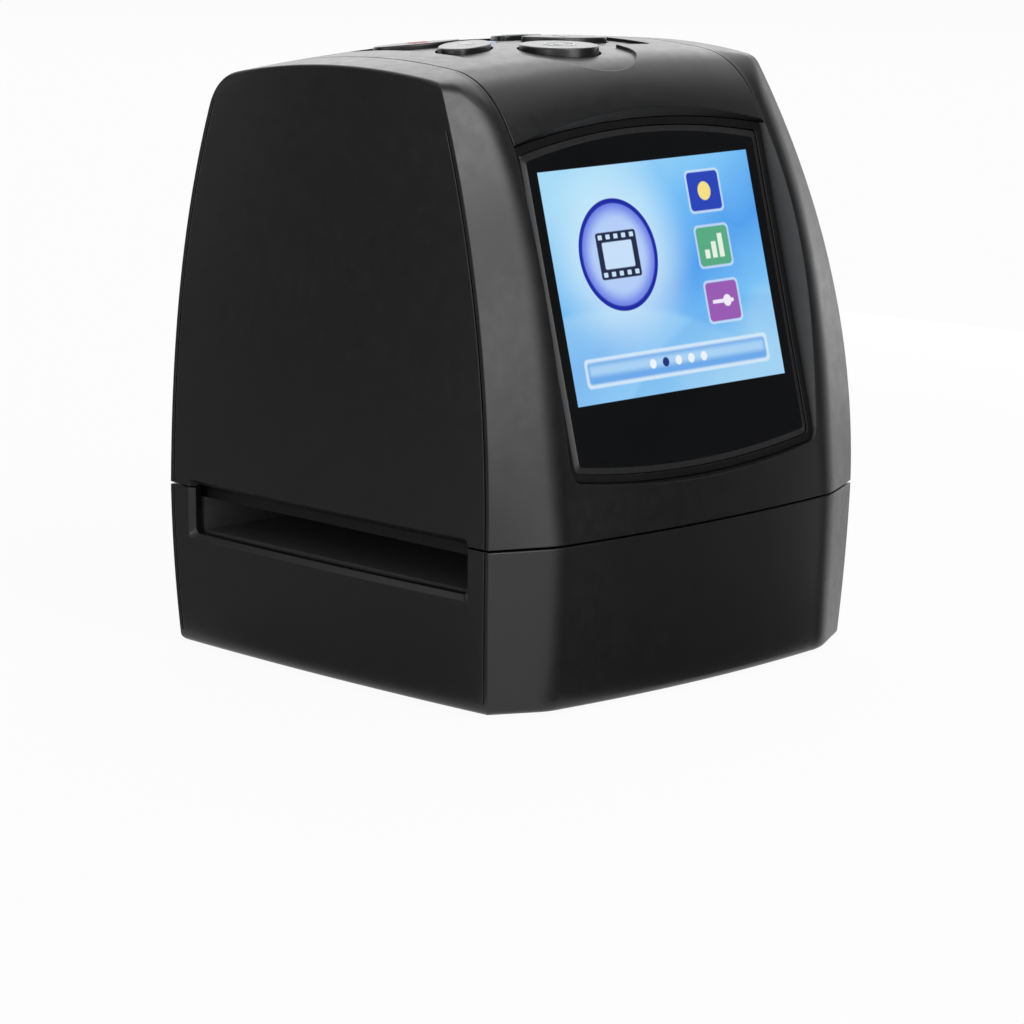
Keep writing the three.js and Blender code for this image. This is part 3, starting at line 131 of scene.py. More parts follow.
CAMERA_ANGLES = -46.43, 9.32, 1.17  # azimuth, elevation and roll in degrees
CAMERA_FOCAL, CAMERA_CENTRE, PICTURE = 4545.49, (516.85, 338.71), 1024  # in the picture's pixels
CAMERA_AIM, CAMERA_BACK = 50.8, 741.17  # height that it looks at, and its distance
ROOM_LIGHT, FLOOR_WHITE, CARD_Z = 0.2, 0.95, 0.0006
GLOSS_SPREAD, DOT_PITCH, SCREEN_GLOW = 0.07, 0.153, 0.72

# Steps along each part of the form
FINE = dict(face=22, corner=7, bevel=8, panel=26, wall=40, round=12, cross=16, base=20)
COARSE = dict(face=8, corner=4, bevel=3, panel=10, wall=16, round=5, cross=6, base=8)


# Form of the body

def bend(a, b, c, t):
    return a * (1 - t) ** 2 + b * 2 * t * (1 - t) + c * t * t


def bent(a, b, c, t):
    return tuple(bend(*ends, t) for ends in zip(a, b, c))


def leaning(total, shares, h):
    return total * sum(share * h ** (i + 1) for i, share in enumerate(shares))


def plan_at(z, inset=0.0):
    """Half sizes of the body at a height: panel, face, front edge, front, rear edge, rear."""
    high = z > SEAM
    h = min((z - SEAM) / UPPER_H if high else (SEAM - z) / BASE_H, 1)

    def pick(upper, shares, base):
        return leaning(upper, shares, h) if high else leaning(base, (0.35, 0.65), h)

    edge = PANEL_FRONT - pick(LEAN_FRONT_EDGE, (0, 0.9, 0.1), BASE_LEAN_FRONT)
    front = PANEL_FRONT + FRONT_BEVEL - pick(LEAN_FACE, (0.36, 0, 0.45, 0.19), BASE_LEAN_FRONT)
    rear = PANEL_REAR - pick(LEAN_REAR, (0, 0, 0.8, 0.2), BASE_LEAN_REAR)
    panel = PANEL_HALF - pick(LEAN_PANEL, (0, 1), BASE_LEAN_PANEL)
    return dict(panel=panel - inset, face=FACE_HALF - inset / 2, edge=edge - inset, front=front - inset,
                rear_edge=rear - inset, rear=rear + REAR_BEVEL - inset)


def top_at(x, y):
    drop = TOP_RADIUS - math.sqrt(TOP_RADIUS ** 2 - (y - CREST_Y) ** 2)
    return CREST + CROWN * (1 - (x / (PANEL_HALF - LEAN_PANEL)) ** 2) - drop


def panel_x(p, s):
    """Where the bowed side panel is, at a distance behind its front edge."""
    t = s / (p["edge"] + p["rear_edge"])
    return p["panel"] + PANEL_BOW * 4 * t * (1 - t)


def half_plan(z, inset, steps):
    """Right half of the outline, front to back: (x, y, lead in x, lead in y) for each point."""
    p = plan_at(z, inset)
    soft_x = p["face"] - SOFT
    soft_share = SOFT / (p["panel"] - p["face"])
    rows = []
    face_round = max(FACE_ROUND - inset, EDGE_ROUND)
    rear_round = max(REAR_ROUND - inset, EDGE_ROUND)

    def end(side, y, edge, lead, edge_lead):
        row = []
        for i in range(steps["face"] + 1):
            x = soft_x * i / steps["face"]
            row.append((x, side * (y + FACE_BOW * (1 - (x / soft_x) ** 2)), 0, -side * lead))
        soft_y = y - (y - edge) * soft_share
        middle = edge_lead + (lead - edge_lead) * CORNER_SHARE
        for i in range(1, steps["corner"] + 1):
            t = i / steps["corner"]
            row.append((bend(soft_x, p["face"], p["face"] + SOFT, t), side * bend(y, y, soft_y, t), 0,
                        -side * (lead + (middle - lead) * t * (0.8 + 0.2 * t))))
        x0, y0, _, lead0 = row[-1]
        for i in range(1, steps["bevel"] + 1):
            t = i / steps["bevel"]
            row.append((x0 + (p["panel"] - x0) * t, y0 + (side * edge - y0) * t, -EDGE_ROUND * t ** 4,
                        lead0 + (-side * edge_lead - lead0) * t))
        return row

    rows += end(-1, p["front"], p["edge"], face_round, PANEL_ROUND)
    length = p["edge"] + p["rear_edge"]
    for i in range(1, steps["panel"]):
        s = length * i / steps["panel"]
        near = PANEL_ROUND * max(0, 1 - s / NEAR_FADE) ** 2
        far = rear_round * max(0, 1 - (length - s) / FAR_FADE) ** 2
        rows.append((panel_x(p, s), s - p["edge"], -EDGE_ROUND, near - far))
    rows += reversed(end(1, p["rear"], p["rear_edge"], rear_round, rear_round))
    return rows


def mirrored(half):
    return half + [(-p[0],) + tuple(p[1:]) for p in reversed(half[1:-1])]


def drawn_together(ring, middle, steps, height):
    """Rings from an end ring to a point inside it, which every part of the ring has to face."""
    mx, my = middle
    out = []
    for k in range(1, steps + 1):
        t = k / steps
        row = [(p[0] + (mx - p[0]) * t, p[1] + (my - p[1]) * t) for p in ring]
        out.append([(x, y, height(x, y)) for x, y in row])
    return out


def upper_form(inset, top_inset, bottom, steps, lip=0.0):
    """Rings of the whole form above a level, drawn in at the sides and at the top."""
    def height(x, y):
        return top_at(x, y) - top_inset

    count = len(half_plan(bottom, inset, steps))
    corners = []
    for i in range(count):
        z = CREST
        for _ in range(6):
            x, y = half_plan(z, inset, steps)[i][:2]
            z = height(x, y)
        corners.append(half_plan(z, inset, steps)[i] + (z,))
    rings = []
    if lip:
        rings.append([(x, y, bottom) for x, y, _, _ in half_plan(bottom, inset + lip, steps)])
        bottom += lip
    for level in range(steps["wall"] + 1):
        share = level / steps["wall"]
        ring = []
        for i, (_, _, lx, ly, cz) in enumerate(corners):
            z = bottom + (cz - max(abs(ly), -lx) - bottom) * share
            ring.append(half_plan(z, inset, steps)[i][:2] + (z,))
        rings.append(ring)
    shoulder = rings[-1]
    for step in range(1, steps["round"] + 1):
        t = step / steps["round"]
        ring = []
        for a, (cx, cy, lx, ly, cz) in zip(shoulder, corners):
            x, y = cx + lx, cy + ly
            ring.append(bent(a, (cx, cy, cz), (x, y, height(x, y)), t))
        rings.append(ring)
    rings = [mirrored(ring) for ring in rings]
    return rings + drawn_together(rings[-1], TOP_MIDDLE, steps["cross"], height)


def base_form(inset, bottom, top, steps, lip=0.0):
    edge = rounded_edge(BASE_ROUND, steps["corner"])
    levels = [(bottom + a, inset + BASE_ROUND - b) for a, b in edge]
    start, end = bottom + BASE_ROUND, top - lip
    for level in range(1, steps["base"] + 1):
        levels.append((start + (end - start) * level / steps["base"], inset))
    if lip:
        levels.append((top, inset + lip))
    return [mirrored([(x, y, z) for x, y, _, _ in half_plan(z, by, steps)]) for z, by in levels]


# Meshes and booleans

def linked(name, data):
    """A new object in the scene."""
    obj = bpy.data.objects.new(name, data)
    bpy.context.scene.collection.objects.link(obj)
    return obj


def object_from(bm):
    """A new object with what a bmesh holds."""
    mesh = bpy.data.meshes.new("part")
    bm.to_mesh(mesh)
    bm.free()
    return linked("part", mesh)


def bridge(bm, low, high):
    """Four-sided faces between two closed rows with as many points each."""
    for i in range(len(low)):
        j = (i + 1) % len(low)
        bm.faces.new((low[i], low[j], high[j], high[i]))


def rows_in(bm, rings):
    """Rows of points from rings in millimetres, bridged one to the next."""
    rows = [[bm.verts.new(Vector(p) * MM) for p in ring] for ring in rings]
    for low, high in zip(rows, rows[1:]):
        bridge(bm, low, high)
    return rows


def solid(rings, closed=False):
    """A closed mesh through rings: capped at both ends, or joined from the last to the first."""
    bm = bmesh.new()
    rows = rows_in(bm, rings)
    if closed:
        bridge(bm, rows[-1], rows[0])
    else:
        bm.faces.new(rows[0][::-1])
        bm.faces.new(rows[-1])
    bmesh.ops.remove_doubles(bm, verts=bm.verts, dist=1e-7)
    bmesh.ops.dissolve_degenerate(bm, dist=1e-8, edges=bm.edges)
    bmesh.ops.recalc_face_normals(bm, faces=bm.faces)
    return object_from(bm)


def boolean(operation):
    """A function that changes an object's mesh by each of the others, which are used up."""
    def combine(obj, *others):
        for other in others:
            modifier = obj.modifiers.new("combine", "BOOLEAN")
            modifier.operation = operation
            modifier.solver = "MANIFOLD"
            modifier.object = other
        graph = bpy.context.evaluated_depsgraph_get()
        mesh = bpy.data.meshes.new_from_object(obj.evaluated_get(graph))
        obj.modifiers.clear()
        obj.data = mesh
        for other in others:
            bpy.data.objects.remove(other)
        return obj
    return combine


cut, join, common = boolean("DIFFERENCE"), boolean("UNION"), boolean("INTERSECT")


def joined_mesh(objects):
    """Several meshes as one object, each keeping its own closed surface."""
    bm = bmesh.new()
    for obj in objects:
        bm.from_mesh(obj.data)
        bpy.data.objects.remove(obj)
    return object_from(bm)


def piece(obj, name, material, node=None, body="housing", sharp=28):
    """A dressed piece on its body, with the CAD node that it replaces and the angle of its sharp edges."""
    obj.name = name
    if sharp:
        obj.data.shade_smooth()
        obj.data.set_sharp_from_angle(angle=math.radians(sharp))
    if not isinstance(material, list):
        obj.data.materials.clear()
        material = [material]
    for entry in material:
        obj.data.materials.append(entry)
    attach(obj, body)
    if node:
        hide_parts(node)


def ring_of(outline, z):
    return [(x, y, z) for x, y in outline]


def prism(outline, z0, z1):
    return solid([ring_of(outline, z0), ring_of(outline, z1)])


def circle(x, y, r, sides=48):
    angles = [2 * pi * i / sides for i in range(sides)]
    return [(x + r * cos(a), y + r * sin(a)) for a in angles]


def rod(r, x, y, z0, z1, sides=32):
    return prism(circle(x, y, r, sides), z0, z1)


def block(x0, x1, y0, y1, z0, z1):
    return prism([(x0, y0), (x1, y0), (x1, y1), (x0, y1)], z0, z1)


def rounded_rectangle(hx, hy, r, steps=8, x=0.0, y=0.0):
    out = []
    for k, (sx, sy) in enumerate([(1, -1), (1, 1), (-1, 1), (-1, -1)]):
        for i in range(steps + 1):
            a = -pi / 2 + pi / 2 * (k + i / steps)
            out.append((x + sx * (hx - r) + r * cos(a), y + sy * (hy - r) + r * sin(a)))
    return out


def revolved(profile, place, axis="Z", sides=48):
    """A turned piece: (radius, height) points along an axis from a place."""
    rings = []
    for r, h in profile:
        points = [(u, v, h) if axis == "Z" else (u, h, v) for u, v in circle(0, 0, max(r, 1e-4), sides)]
        rings.append([tuple(a + b for a, b in zip(place, p)) for p in points])
    return solid(rings)


def rounded_edge(r, steps=5):
    """(inwards, upwards) points of a quarter round, from the side to the top."""
    angles = [pi / 2 * i / steps for i in range(steps + 1)]
    return [(r * (1 - cos(a)), r * sin(a)) for a in angles]


# Window

WINDOW = Matrix((
    (1, 0, 0, 0),
    (0, sin(LEAN), -cos(LEAN), 3.0 - plan_at(WINDOW_Z)["front"]),
    (0, cos(LEAN), sin(LEAN), WINDOW_Z),
    (0, 0, 0, 1),
))


def window_outline(grow, brow=None):
    """The window's outline grown by a distance, where the bow of its head can grow by another."""
    half, head, foot = WINDOW_HALF + grow, HEAD + grow, -FOOT - grow
    head_pull = 2 * (HEAD + HEAD_DOME + (grow if brow is None else brow)) - head
    foot_pull = -2 * (FOOT + FOOT_DOME + grow) - foot
    feet, heads = max(3.0 + grow, 0.8), max(0.8 + grow, 0.8)
    right = [(half - feet, foot), (half, foot), (half, foot + feet), (half, 0), (half, head - heads),
             (half, head), (half - heads, head)]
    left = [(-x, y) for x, y in reversed(right)]
    points = left[-1:] + [(0, foot_pull)] + right + [(0, head_pull)] + left[:-1]
    out = []
    for k in range(0, len(points), 2):
        a, b, c = points[k], points[k + 1], points[(k + 2) % len(points)]
        steps = 6 if k % 4 else 28
        out += [bent(a, b, c, i / steps) for i in range(steps)]
    return out


def on_window(rings):
    return [[tuple(WINDOW @ Vector(p)) for p in ring] for ring in rings]


def window_rings(profile):
    """Rings along the window's outline, each from a depth and how far the outline is grown."""
    return on_window([ring_of(window_outline(*grow), n) for n, *grow in profile])


def window_recess(grow, low):
    """The window's opening from a depth outwards, flared in front of the frame."""
    return solid(window_rings([(low, grow), (0, grow), (8, grow + 4, grow + BROW)]))


# Film slot and sockets

def panel_surface(y, z):
    p = plan_at(z)
    return panel_x(p, y + p["edge"])


def slot_mouth(side):
    """One mouth of the passage, bevelled outwards along the bowed side panel."""
    middle = SLOT_FLOOR + SLOT_H / 2

    def ring(grow, out):
        corners = rounded_rectangle(SLOT_HALF + grow, SLOT_H / 2 + grow, SLOT_BEVEL, 6)
        outline = []
        for i, a in enumerate(corners):
            outline.append(a)
            if i % 7 == 6:
                b = corners[(i + 1) % len(corners)]
                parts = 26 if i in (13, 27) else 3
                outline += [(a[0] + (b[0] - a[0]) * k / parts, a[1] + (b[1] - a[1]) * k / parts)
                            for k in range(1, parts)]
        if out is None:
            return [(0, y, middle + dz) for y, dz in outline]
        return [(side * (panel_surface(y, middle + dz) + out), y, middle + dz) for y, dz in outline]

    return solid([ring(0, None), ring(0, -SLOT_BEVEL), ring(SLOT_BEVEL, 0), ring(SLOT_BEVEL + 4, 4)])


def rear_surface(x, z):
    p = plan_at(z)
    return p["rear"] + FACE_BOW * (1 - (x / (p["face"] - SOFT)) ** 2)


USB_MOUTH = rear_surface(USB_X, USB_Z) - 0.5
JACK_MOUTH = rear_surface(JACK_X, JACK_Z) - 0.5


def usb_outline(grow):
    """The small socket's shape: a flat top and two steps in towards the bottom."""
    hx, hz = USB_W / 2 + grow, USB_H / 2 + grow
    right = [(hx * 0.62, -hz), (hx * 0.74, -hz * 0.25), (hx, -hz * 0.1), (hx, hz)]
    corners = [(-hx * 0.62, -hz)] + right + [(-x, z) for x, z in right[:0:-1]]
    out = []
    r, steps = 0.35, 5
    for i, b in enumerate(corners):
        a, c = corners[i - 1], corners[(i + 1) % len(corners)]
        before = (Vector(a) - Vector(b)).normalized() * r + Vector(b)
        after = (Vector(c) - Vector(b)).normalized() * r + Vector(b)
        out += [bent(before, b, after, t / steps) for t in range(steps + 1)]
    return out


def along_y(outline, x, z, y0, y1):
    return solid([[(x + u, y, z + v) for u, v in outline] for y in (y0, y1)])


def socket_cutters():
    return [along_y(rounded_rectangle(4.8, 2.35, 0.6), USB_X, USB_Z, 30, 50),
            along_y(circle(0, 0, JACK_R + FIT), JACK_X, JACK_Z, 30, 50)]


SCREWS = [(x, y) for y in (-SCREW_Y, SCREW_Y) for x in (-SCREW_X, SCREW_X)]
FEET = [(x, y) for y in (-FOOT_Y, FOOT_Y) for x in (-FOOT_X, FOOT_X)]


# Keys

KEYS = {
    "power": (-LEAF_X, LAMP_Y + LEAF_Y),
    "menu": (LEAF_X, LAMP_Y + LEAF_Y),
    "mirror": (-LEAF_X, LAMP_Y - LEAF_Y),
    "flip": (LEAF_X, LAMP_Y - LEAF_Y),
    "scan": (0.0, SCAN_Y),
}


def between(a, b, t0, t1, u):
    return a * ((t1 - u) / (t1 - t0)) + b * ((u - t0) / (t1 - t0))


def spline(points, per):
    """Closed centripetal Catmull-Rom curve through the points."""
    n, out = len(points), []
    for i in range(n):
        p = [Vector(points[(i + k) % n]) for k in (-1, 0, 1, 2)]
        t = [0.0]
        for a, b in zip(p, p[1:]):
            t.append(t[-1] + max((b - a).length, 1e-6) ** 0.5)
        for k in range(per):
            u = t[1] + (t[2] - t[1]) * k / per
            first = [between(p[m], p[m + 1], t[m], t[m + 1], u) for m in range(3)]
            second = [between(first[m], first[m + 1], t[m], t[m + 2], u) for m in range(2)]
            out.append(tuple(between(*second, t[1], t[2], u)))
    return out


def key_outline(name, grow):
    x, y = KEYS[name]
    if name == "scan":
        return circle(x, y, SCAN_R + grow, 72)
    angle = math.atan2(y - LAMP_Y, x)
    half, side = LEAF_LONG / 2 + grow, LEAF_WIDE / 2 + grow
    right = [(half * a, side * s) for a, s in LEAF_SHARES]
    shape = right + [(u, -v) for u, v in reversed(right[1:])]
    c, s = cos(angle), sin(angle)
    return spline([(x + u * c - v * s, y + u * s + v * c) for u, v in shape], 11)[::-1]


def key_plane(name, level, x, y):
    """Height over a point of a plane through a level at the key's middle.

    The plane slopes as the body does there, but it never leans forward.
    """
    kx, ky = KEYS[name]
    d = 0.5
    slope_x = (top_at(kx + d, ky) - top_at(kx - d, ky)) / (2 * d)
    slope_y = (top_at(kx, ky + d) - top_at(kx, ky - d)) / (2 * d)
    return level + slope_x * (x - kx) + min(slope_y, 0) * (y - ky)


def key_height(name, x, y):
    """Top of a key over a point: a low dome on the slope of the body."""
    kx, ky = KEYS[name]
    proud, half = (SCAN_PROUD, SCAN_R) if name == "scan" else (LEAF_PROUD, LEAF_LONG / 2)
    far = math.hypot(x - kx, y - ky) / half
    return key_plane(name, top_at(kx, ky), x, y) + proud - KEY_DOME * far * far


def key_button(name):
    """A key with a flange below the cover, a rounded edge and a stem on its switch."""
    flange_top = top_at(*KEYS[name]) - WALL - FIT
    rings = []
    for grow, level in ((KEY_FLANGE, flange_top - 1), (KEY_FLANGE, flange_top), (0, flange_top)):
        rings.append([(x, y, key_plane(name, level, x, y)) for x, y in key_outline(name, grow)])
    for inwards, upwards in rounded_edge(KEY_ROUND, 6):
        rings.append([(x, y, key_height(name, x, y) - KEY_ROUND + upwards)
                      for x, y in key_outline(name, -inwards)])
    inner = rings[-1]
    middle = [sum(p[k] for p in inner) / len(inner) for k in (0, 1)]
    rings += drawn_together(inner, middle, 6, lambda x, y: key_height(name, x, y))
    return joined_mesh([solid(rings), rod(KEY_STEM_R, *KEYS[name], PLUNGER_TOP, flange_top - 0.5)])


def inlay(name, outlines):
    """Thin printed shapes that lie on a key."""
    return joined_mesh([solid([[(x, y, key_height(name, x, y) + rise) for x, y in outline]
                               for rise in (MARK_LOW, MARK_HIGH)]) for outline in outlines])


def arc_band(x, y, r0, r1, a0, a1, steps=28):
    """A band along a circle, as one outline."""
    angles = [math.radians(a0 + (a1 - a0) * i / steps) for i in range(steps + 1)]
    turns = [(r1, a) for a in angles] + [(r0, a) for a in reversed(angles)]
    return [(x + r * cos(a), y + r * sin(a)) for r, a in turns]


def triangle(x, y, size, heading):
    a = math.radians(heading)
    points = [(size, 0), (-size * 0.55, size * 0.8), (-size * 0.55, -size * 0.8)]
    return [(x + u * cos(a) - v * sin(a), y + u * sin(a) + v * cos(a)) for u, v in points]


# Materials

def feed(socket, value):
    """Links an output or a formula to a node's input, or sets the input to a plain value."""
    if isinstance(value, Net):
        value = value.socket
    if isinstance(value, bpy.types.NodeSocket):
        socket.id_data.links.new(value, socket)
    elif socket.type == "RGBA":
        socket.default_value = value + (1,)
    else:
        socket.default_value = value


def new_node(tree, kind, inputs, **settings):
    """A shader node with its settings, and inputs fed by number or name."""
    node = tree.nodes.new("ShaderNode" + kind)
    for key, value in settings.items():
        setattr(node, key, value)
    for key, value in inputs.items():
        feed(node.inputs[key], value)
    return node


def arithmetic(operation):
    """A method that makes one arithmetic node."""
    def method(self, *others):
        inputs = dict(enumerate((self,) + others))
        return Net(new_node(self.socket.id_data, "Math", inputs, operation=operation).outputs[0])
    return method


class Net:
    """Node arithmetic written as formulas."""

    def __init__(self, socket):
        self.socket = socket

    __add__ = arithmetic("ADD")
    __sub__ = arithmetic("SUBTRACT")
    __mul__ = arithmetic("MULTIPLY")
    __truediv__ = arithmetic("DIVIDE")
    max = arithmetic("MAXIMUM")
    abs = arithmetic("ABSOLUTE")
    root = arithmetic("SQRT")
    wave = arithmetic("SINE")

    def step(self, edge, soft):
        """1 below the edge, 0 above it, with a soft change."""
        inputs = {"Value": self, "From Min": edge - soft, "From Max": edge + soft, "To Min": 1, "To Max": 0}
        node = new_node(self.socket.id_data, "MapRange", inputs, interpolation_type="SMOOTHSTEP")
        return Net(node.outputs[0])


class Look:
    """A material, with its place on the object at rest in millimetres."""

    def __init__(self, name, matrix=None):
        self.material = bpy.data.materials.new(name)
        self.material.use_nodes = True
        self.tree = self.material.node_tree
        where = self.tree.nodes.new("ShaderNodeTexCoord").outputs["Object"]
        self.place = self.node("VectorMath", {"Scale": 1 / MM, 0: where}, operation="SCALE").outputs[0]
        if matrix is not None:
            inverse = matrix.inverted()
            self.place = self.node("Mapping", {
                "Location": inverse.to_translation(), "Rotation": inverse.to_euler(), "Vector": self.place,
            }, vector_type="POINT").outputs[0]

    def node(self, kind, inputs, **settings):
        return new_node(self.tree, kind, inputs, **settings)

    def put(self, key, value):
        feed(self.tree.nodes["Principled BSDF"].inputs[key], value)

    def parts(self):
        """X, Y and Z of the place, as formulas."""
        return [Net(out) for out in self.node("SeparateXYZ", {0: self.place}).outputs]

    def noise(self, scale, detail=3.0, roughness=0.5, place=None):
        return Net(self.node("TexNoise", {
            "Scale": scale, "Detail": detail, "Roughness": roughness, "Vector": place or self.place,
        }).outputs[0])

    def ramp(self, value, stops):
        node = self.node("ValToRGB", {0: value})
        elements = node.color_ramp.elements
        while len(elements) < len(stops):
            elements.new(0.5)
        for element, (at, color) in zip(elements, stops):
            element.position = at
            element.color = color + (1,)
        return node.outputs[0]

    def shades(self, value, dark, light):
        """Between two colours that a noise goes through from 0.3 to 0.7."""
        return self.ramp(value, [(0.3, dark), (0.7, light)])

    def mixed(self, factor, first, second):
        """The first colour where the factor is 0 and the second where it is 1."""
        node = self.node("Mix", {"Factor": factor}, data_type="RGBA")
        for socket, value in zip([s for s in node.inputs if s.type == "RGBA"], (first, second)):
            feed(socket, value)
        return [s for s in node.outputs if s.type == "RGBA"][0]

    def done(self, color, rough, height, strength, deep, edge=0.0):
        """The material with its colour, roughness and bump, over edges rounded by a radius."""
        bump = self.node("Bump", {"Strength": strength, "Distance": deep * MM, "Height": height})
        if edge:
            bevel = self.node("Bevel", {"Radius": edge * MM}, samples=6)
            feed(bump.inputs["Normal"], bevel.outputs[0])
        self.put("Base Color", color)
        self.put("Roughness", rough)
        self.put("Normal", bump.outputs[0])
        return self.material


def moulded(name, dark, light, rough, grain=2.2, deep=0.012, edge=0.0, specular=0.5):
    """Moulded plastic: a fine texture, faint cloudiness in colour and a gloss that varies a little."""
    look = Look(name)
    cloud, fine, coarse = look.noise(0.06, 4), look.noise(grain, 2, 0.6), look.noise(grain / 5)
    look.put("Specular IOR Level", specular)
    return look.done(look.shades(cloud * 0.6 + fine * 0.4, dark, light),
                     (coarse - 0.5) * GLOSS_SPREAD * 2 + (fine - 0.5) * GLOSS_SPREAD + rough,
                     fine * 0.8 + coarse * 0.2, 0.5, deep, edge)


def board_material():
    """Solder mask over copper tracks, with pale pads here and there."""
    look = Look("circuit_board")
    x, y, _ = look.parts()
    cells = look.node("TexVoronoi", {"Scale": 0.34, "Vector": look.place}, distance="CHEBYCHEV")
    pads = Net(cells.outputs["Distance"]).step(0.09, 0.01)
    lines = ((x + y * 0.35) * 1.6).wave().abs().step(0.22, 0.06)
    mask = look.shades(look.noise(0.15), (0.008, 0.075, 0.033), (0.014, 0.11, 0.05))
    tracks = look.mixed(lines * 0.45, mask, (0.03, 0.19, 0.08))
    return look.done(look.mixed(pads, tracks, (0.62, 0.6, 0.52)), look.noise(0.8) * 0.15 + 0.3 - pads * 0.08,
                     lines * 0.6 + pads, 0.5, 0.03)


def metal(name, color, rough):
    """Plated steel with fine drawn lines."""
    look = Look(name)
    drawn = look.node("Mapping", {"Scale": (6.0, 0.4, 6.0), "Vector": look.place}).outputs[0]
    lines, stain = look.noise(1.0, place=drawn), look.noise(0.3, 4)
    look.put("Metallic", 1)
    return look.done(look.shades(stain * 0.5 + lines * 0.5, tuple(c * 0.82 for c in color), color),
                     lines * 0.12 + stain * 0.1 + (rough - 0.11), lines, 0.4, 0.01)


def cable_material():
    """A flat cable: pale conductors side by side under a clear amber film."""
    look = Look("flat_cable")
    lines = (look.parts()[0] * 6.0).wave() * 0.5 + 0.5
    film = look.shades(look.noise(0.4), (0.42, 0.2, 0.035), (0.52, 0.27, 0.06))
    return look.done(look.mixed(lines * 0.6, film, (0.66, 0.46, 0.2)), look.noise(1.5) * 0.15 + 0.3,
                     lines, 0.4, 0.05)


def lens_material():
    """Polished clear plastic, printed black from behind, with the faintest waviness and dust."""
    look = Look("gloss_black_lens")
    wavy, dust = look.noise(0.05, 2), look.noise(5.0, 2)
    look.put("Coat Weight", 0.3)
    look.put("Coat Roughness", 0.04)
    return look.done(look.shades(wavy * 0.7 + dust * 0.3, (0.0035, 0.0038, 0.0045), (0.006, 0.0063, 0.007)),
                     dust * 0.05 + wavy * 0.04 + 0.03, wavy, 0.3, 0.05)


def picture_material():
    """The lit display: a generic menu of plain shapes on a light blue ground."""
    look = Look("lit_display", WINDOW)
    u, v, _ = look.parts()
    v = v - SCREEN_RISE
    hw, hh = SCREEN_W / 2, SCREEN_H / 2

    def disc(cx, cy, r, soft=0.12, wide=1.0):
        du, dv = (u - cx) / wide, v - cy
        return (du * du + dv * dv).root().step(r, soft)

    def tile(cx, cy, hx, hy, r=0.0, soft=0.12):
        du = ((u - cx).abs() - (hx - r)).max(0.0)
        dv = ((v - cy).abs() - (hy - r)).max(0.0)
        return (du * du + dv * dv).root().step(r + 0.01, soft)

    along = (u * 0.42 - v * 0.9) / (hw + hh) + 0.5
    color = look.ramp(along + look.noise(0.07, 2) * 0.22 - 0.1, [
        (0.0, (0.42, 0.76, 0.96)), (0.3, (0.2, 0.56, 0.95)), (0.55, (0.09, 0.37, 0.88)),
        (0.8, (0.2, 0.56, 0.95)), (1.0, (0.5, 0.82, 0.98))])

    def paint(mask, paint_color, amount=1.0):
        nonlocal color
        color = look.mixed(mask * amount, color, paint_color)

    # Soft hills across the lower half
    paint(disc(-16, -34, 30, 0.8, 1.5), (0.48, 0.8, 0.97), 0.35)
    paint(disc(20, -38, 33, 0.8, 1.2), (0.08, 0.34, 0.8), 0.25)
    # Round field with a film frame in it
    x, y, pale = -9.5, 4.2, (0.62, 0.8, 0.98)
    paint(disc(x, y, 12.5, 6.0), (0.7, 0.92, 1.0), 0.75)
    paint(disc(x, y, 8.9), (0.006, 0.008, 0.34))
    paint(disc(x, y, 8.1), (0.14, 0.2, 0.8))
    paint(disc(x, y, 6.9, 1.6), (0.5, 0.66, 0.98))
    paint(tile(x, y, 4.6, 3.7, 0.5), (0.012, 0.012, 0.02))
    paint(tile(x, y, 3.4, 2.1, 0.3), pale)
    for i in range(5):
        for side in (-1, 1):
            paint(tile(x - 3.6 + 1.8 * i, y + side * 2.95, 0.45, 0.36, 0.12, 0.08), pale)
    # Column of three tiles: a sun, bars and a slider
    x, white = 12.8, (0.95, 0.9, 1.0)
    for y, tint in [(12.5, (0.02, 0.05, 0.46)), (3.6, (0.1, 0.42, 0.2)), (-5.3, (0.34, 0.1, 0.44))]:
        paint(tile(x, y, 4.1, 3.5, 0.9), (0.8, 0.9, 1.0), 0.6)
        paint(tile(x, y, 3.7, 3.1, 0.7), tint)
    paint(disc(x, 12.5, 1.5), (1.0, 0.8, 0.22))
    for i, tall in enumerate((0.7, 1.3, 1.9)):
        paint(tile(11.1 + 1.7 * i, 1.7 + tall, 0.55, tall, 0.1), (0.86, 0.95, 0.8))
    paint(tile(x, -5.3, 2.5, 0.28, 0.2), white)
    paint(disc(13.8, -5.3, 0.95), white)
    # Bar along the foot with a row of dots
    paint(tile(0, -13.6, 21.5, 2.3, 0.8, 0.2), (0.7, 0.86, 0.98))
    paint(tile(0, -13.6, 20.9, 1.7, 0.6, 0.3), (0.16, 0.42, 0.84))
    paint(tile(0, -13.2, 20.5, 0.8, 0.5, 0.6), (0.5, 0.76, 0.97), 0.8)
    for i in range(5):
        paint(disc(-6 + 3 * i, -13.5, 0.75), (0.01, 0.02, 0.16) if i == 1 else (0.9, 0.96, 1.0))
    # Dot grid of the panel, and its dark edge
    grid = (u * (2 * pi / DOT_PITCH)).wave() * (v * (2 * pi / DOT_PITCH)).wave()
    lit = look.mixed(grid * 0.06 + 0.03, color, (0.02, 0.05, 0.2))
    final = look.mixed(tile(0, 0, hw - 0.1, hh - 0.1), (0.01, 0.02, 0.06), lit)
    look.put("Emission Color", final)
    look.put("Emission Strength", SCREEN_GLOW)
    return look.done(final, look.noise(3.0) * 0.04 + 0.06, look.noise(0.05, 2), 0.2, 0.03)


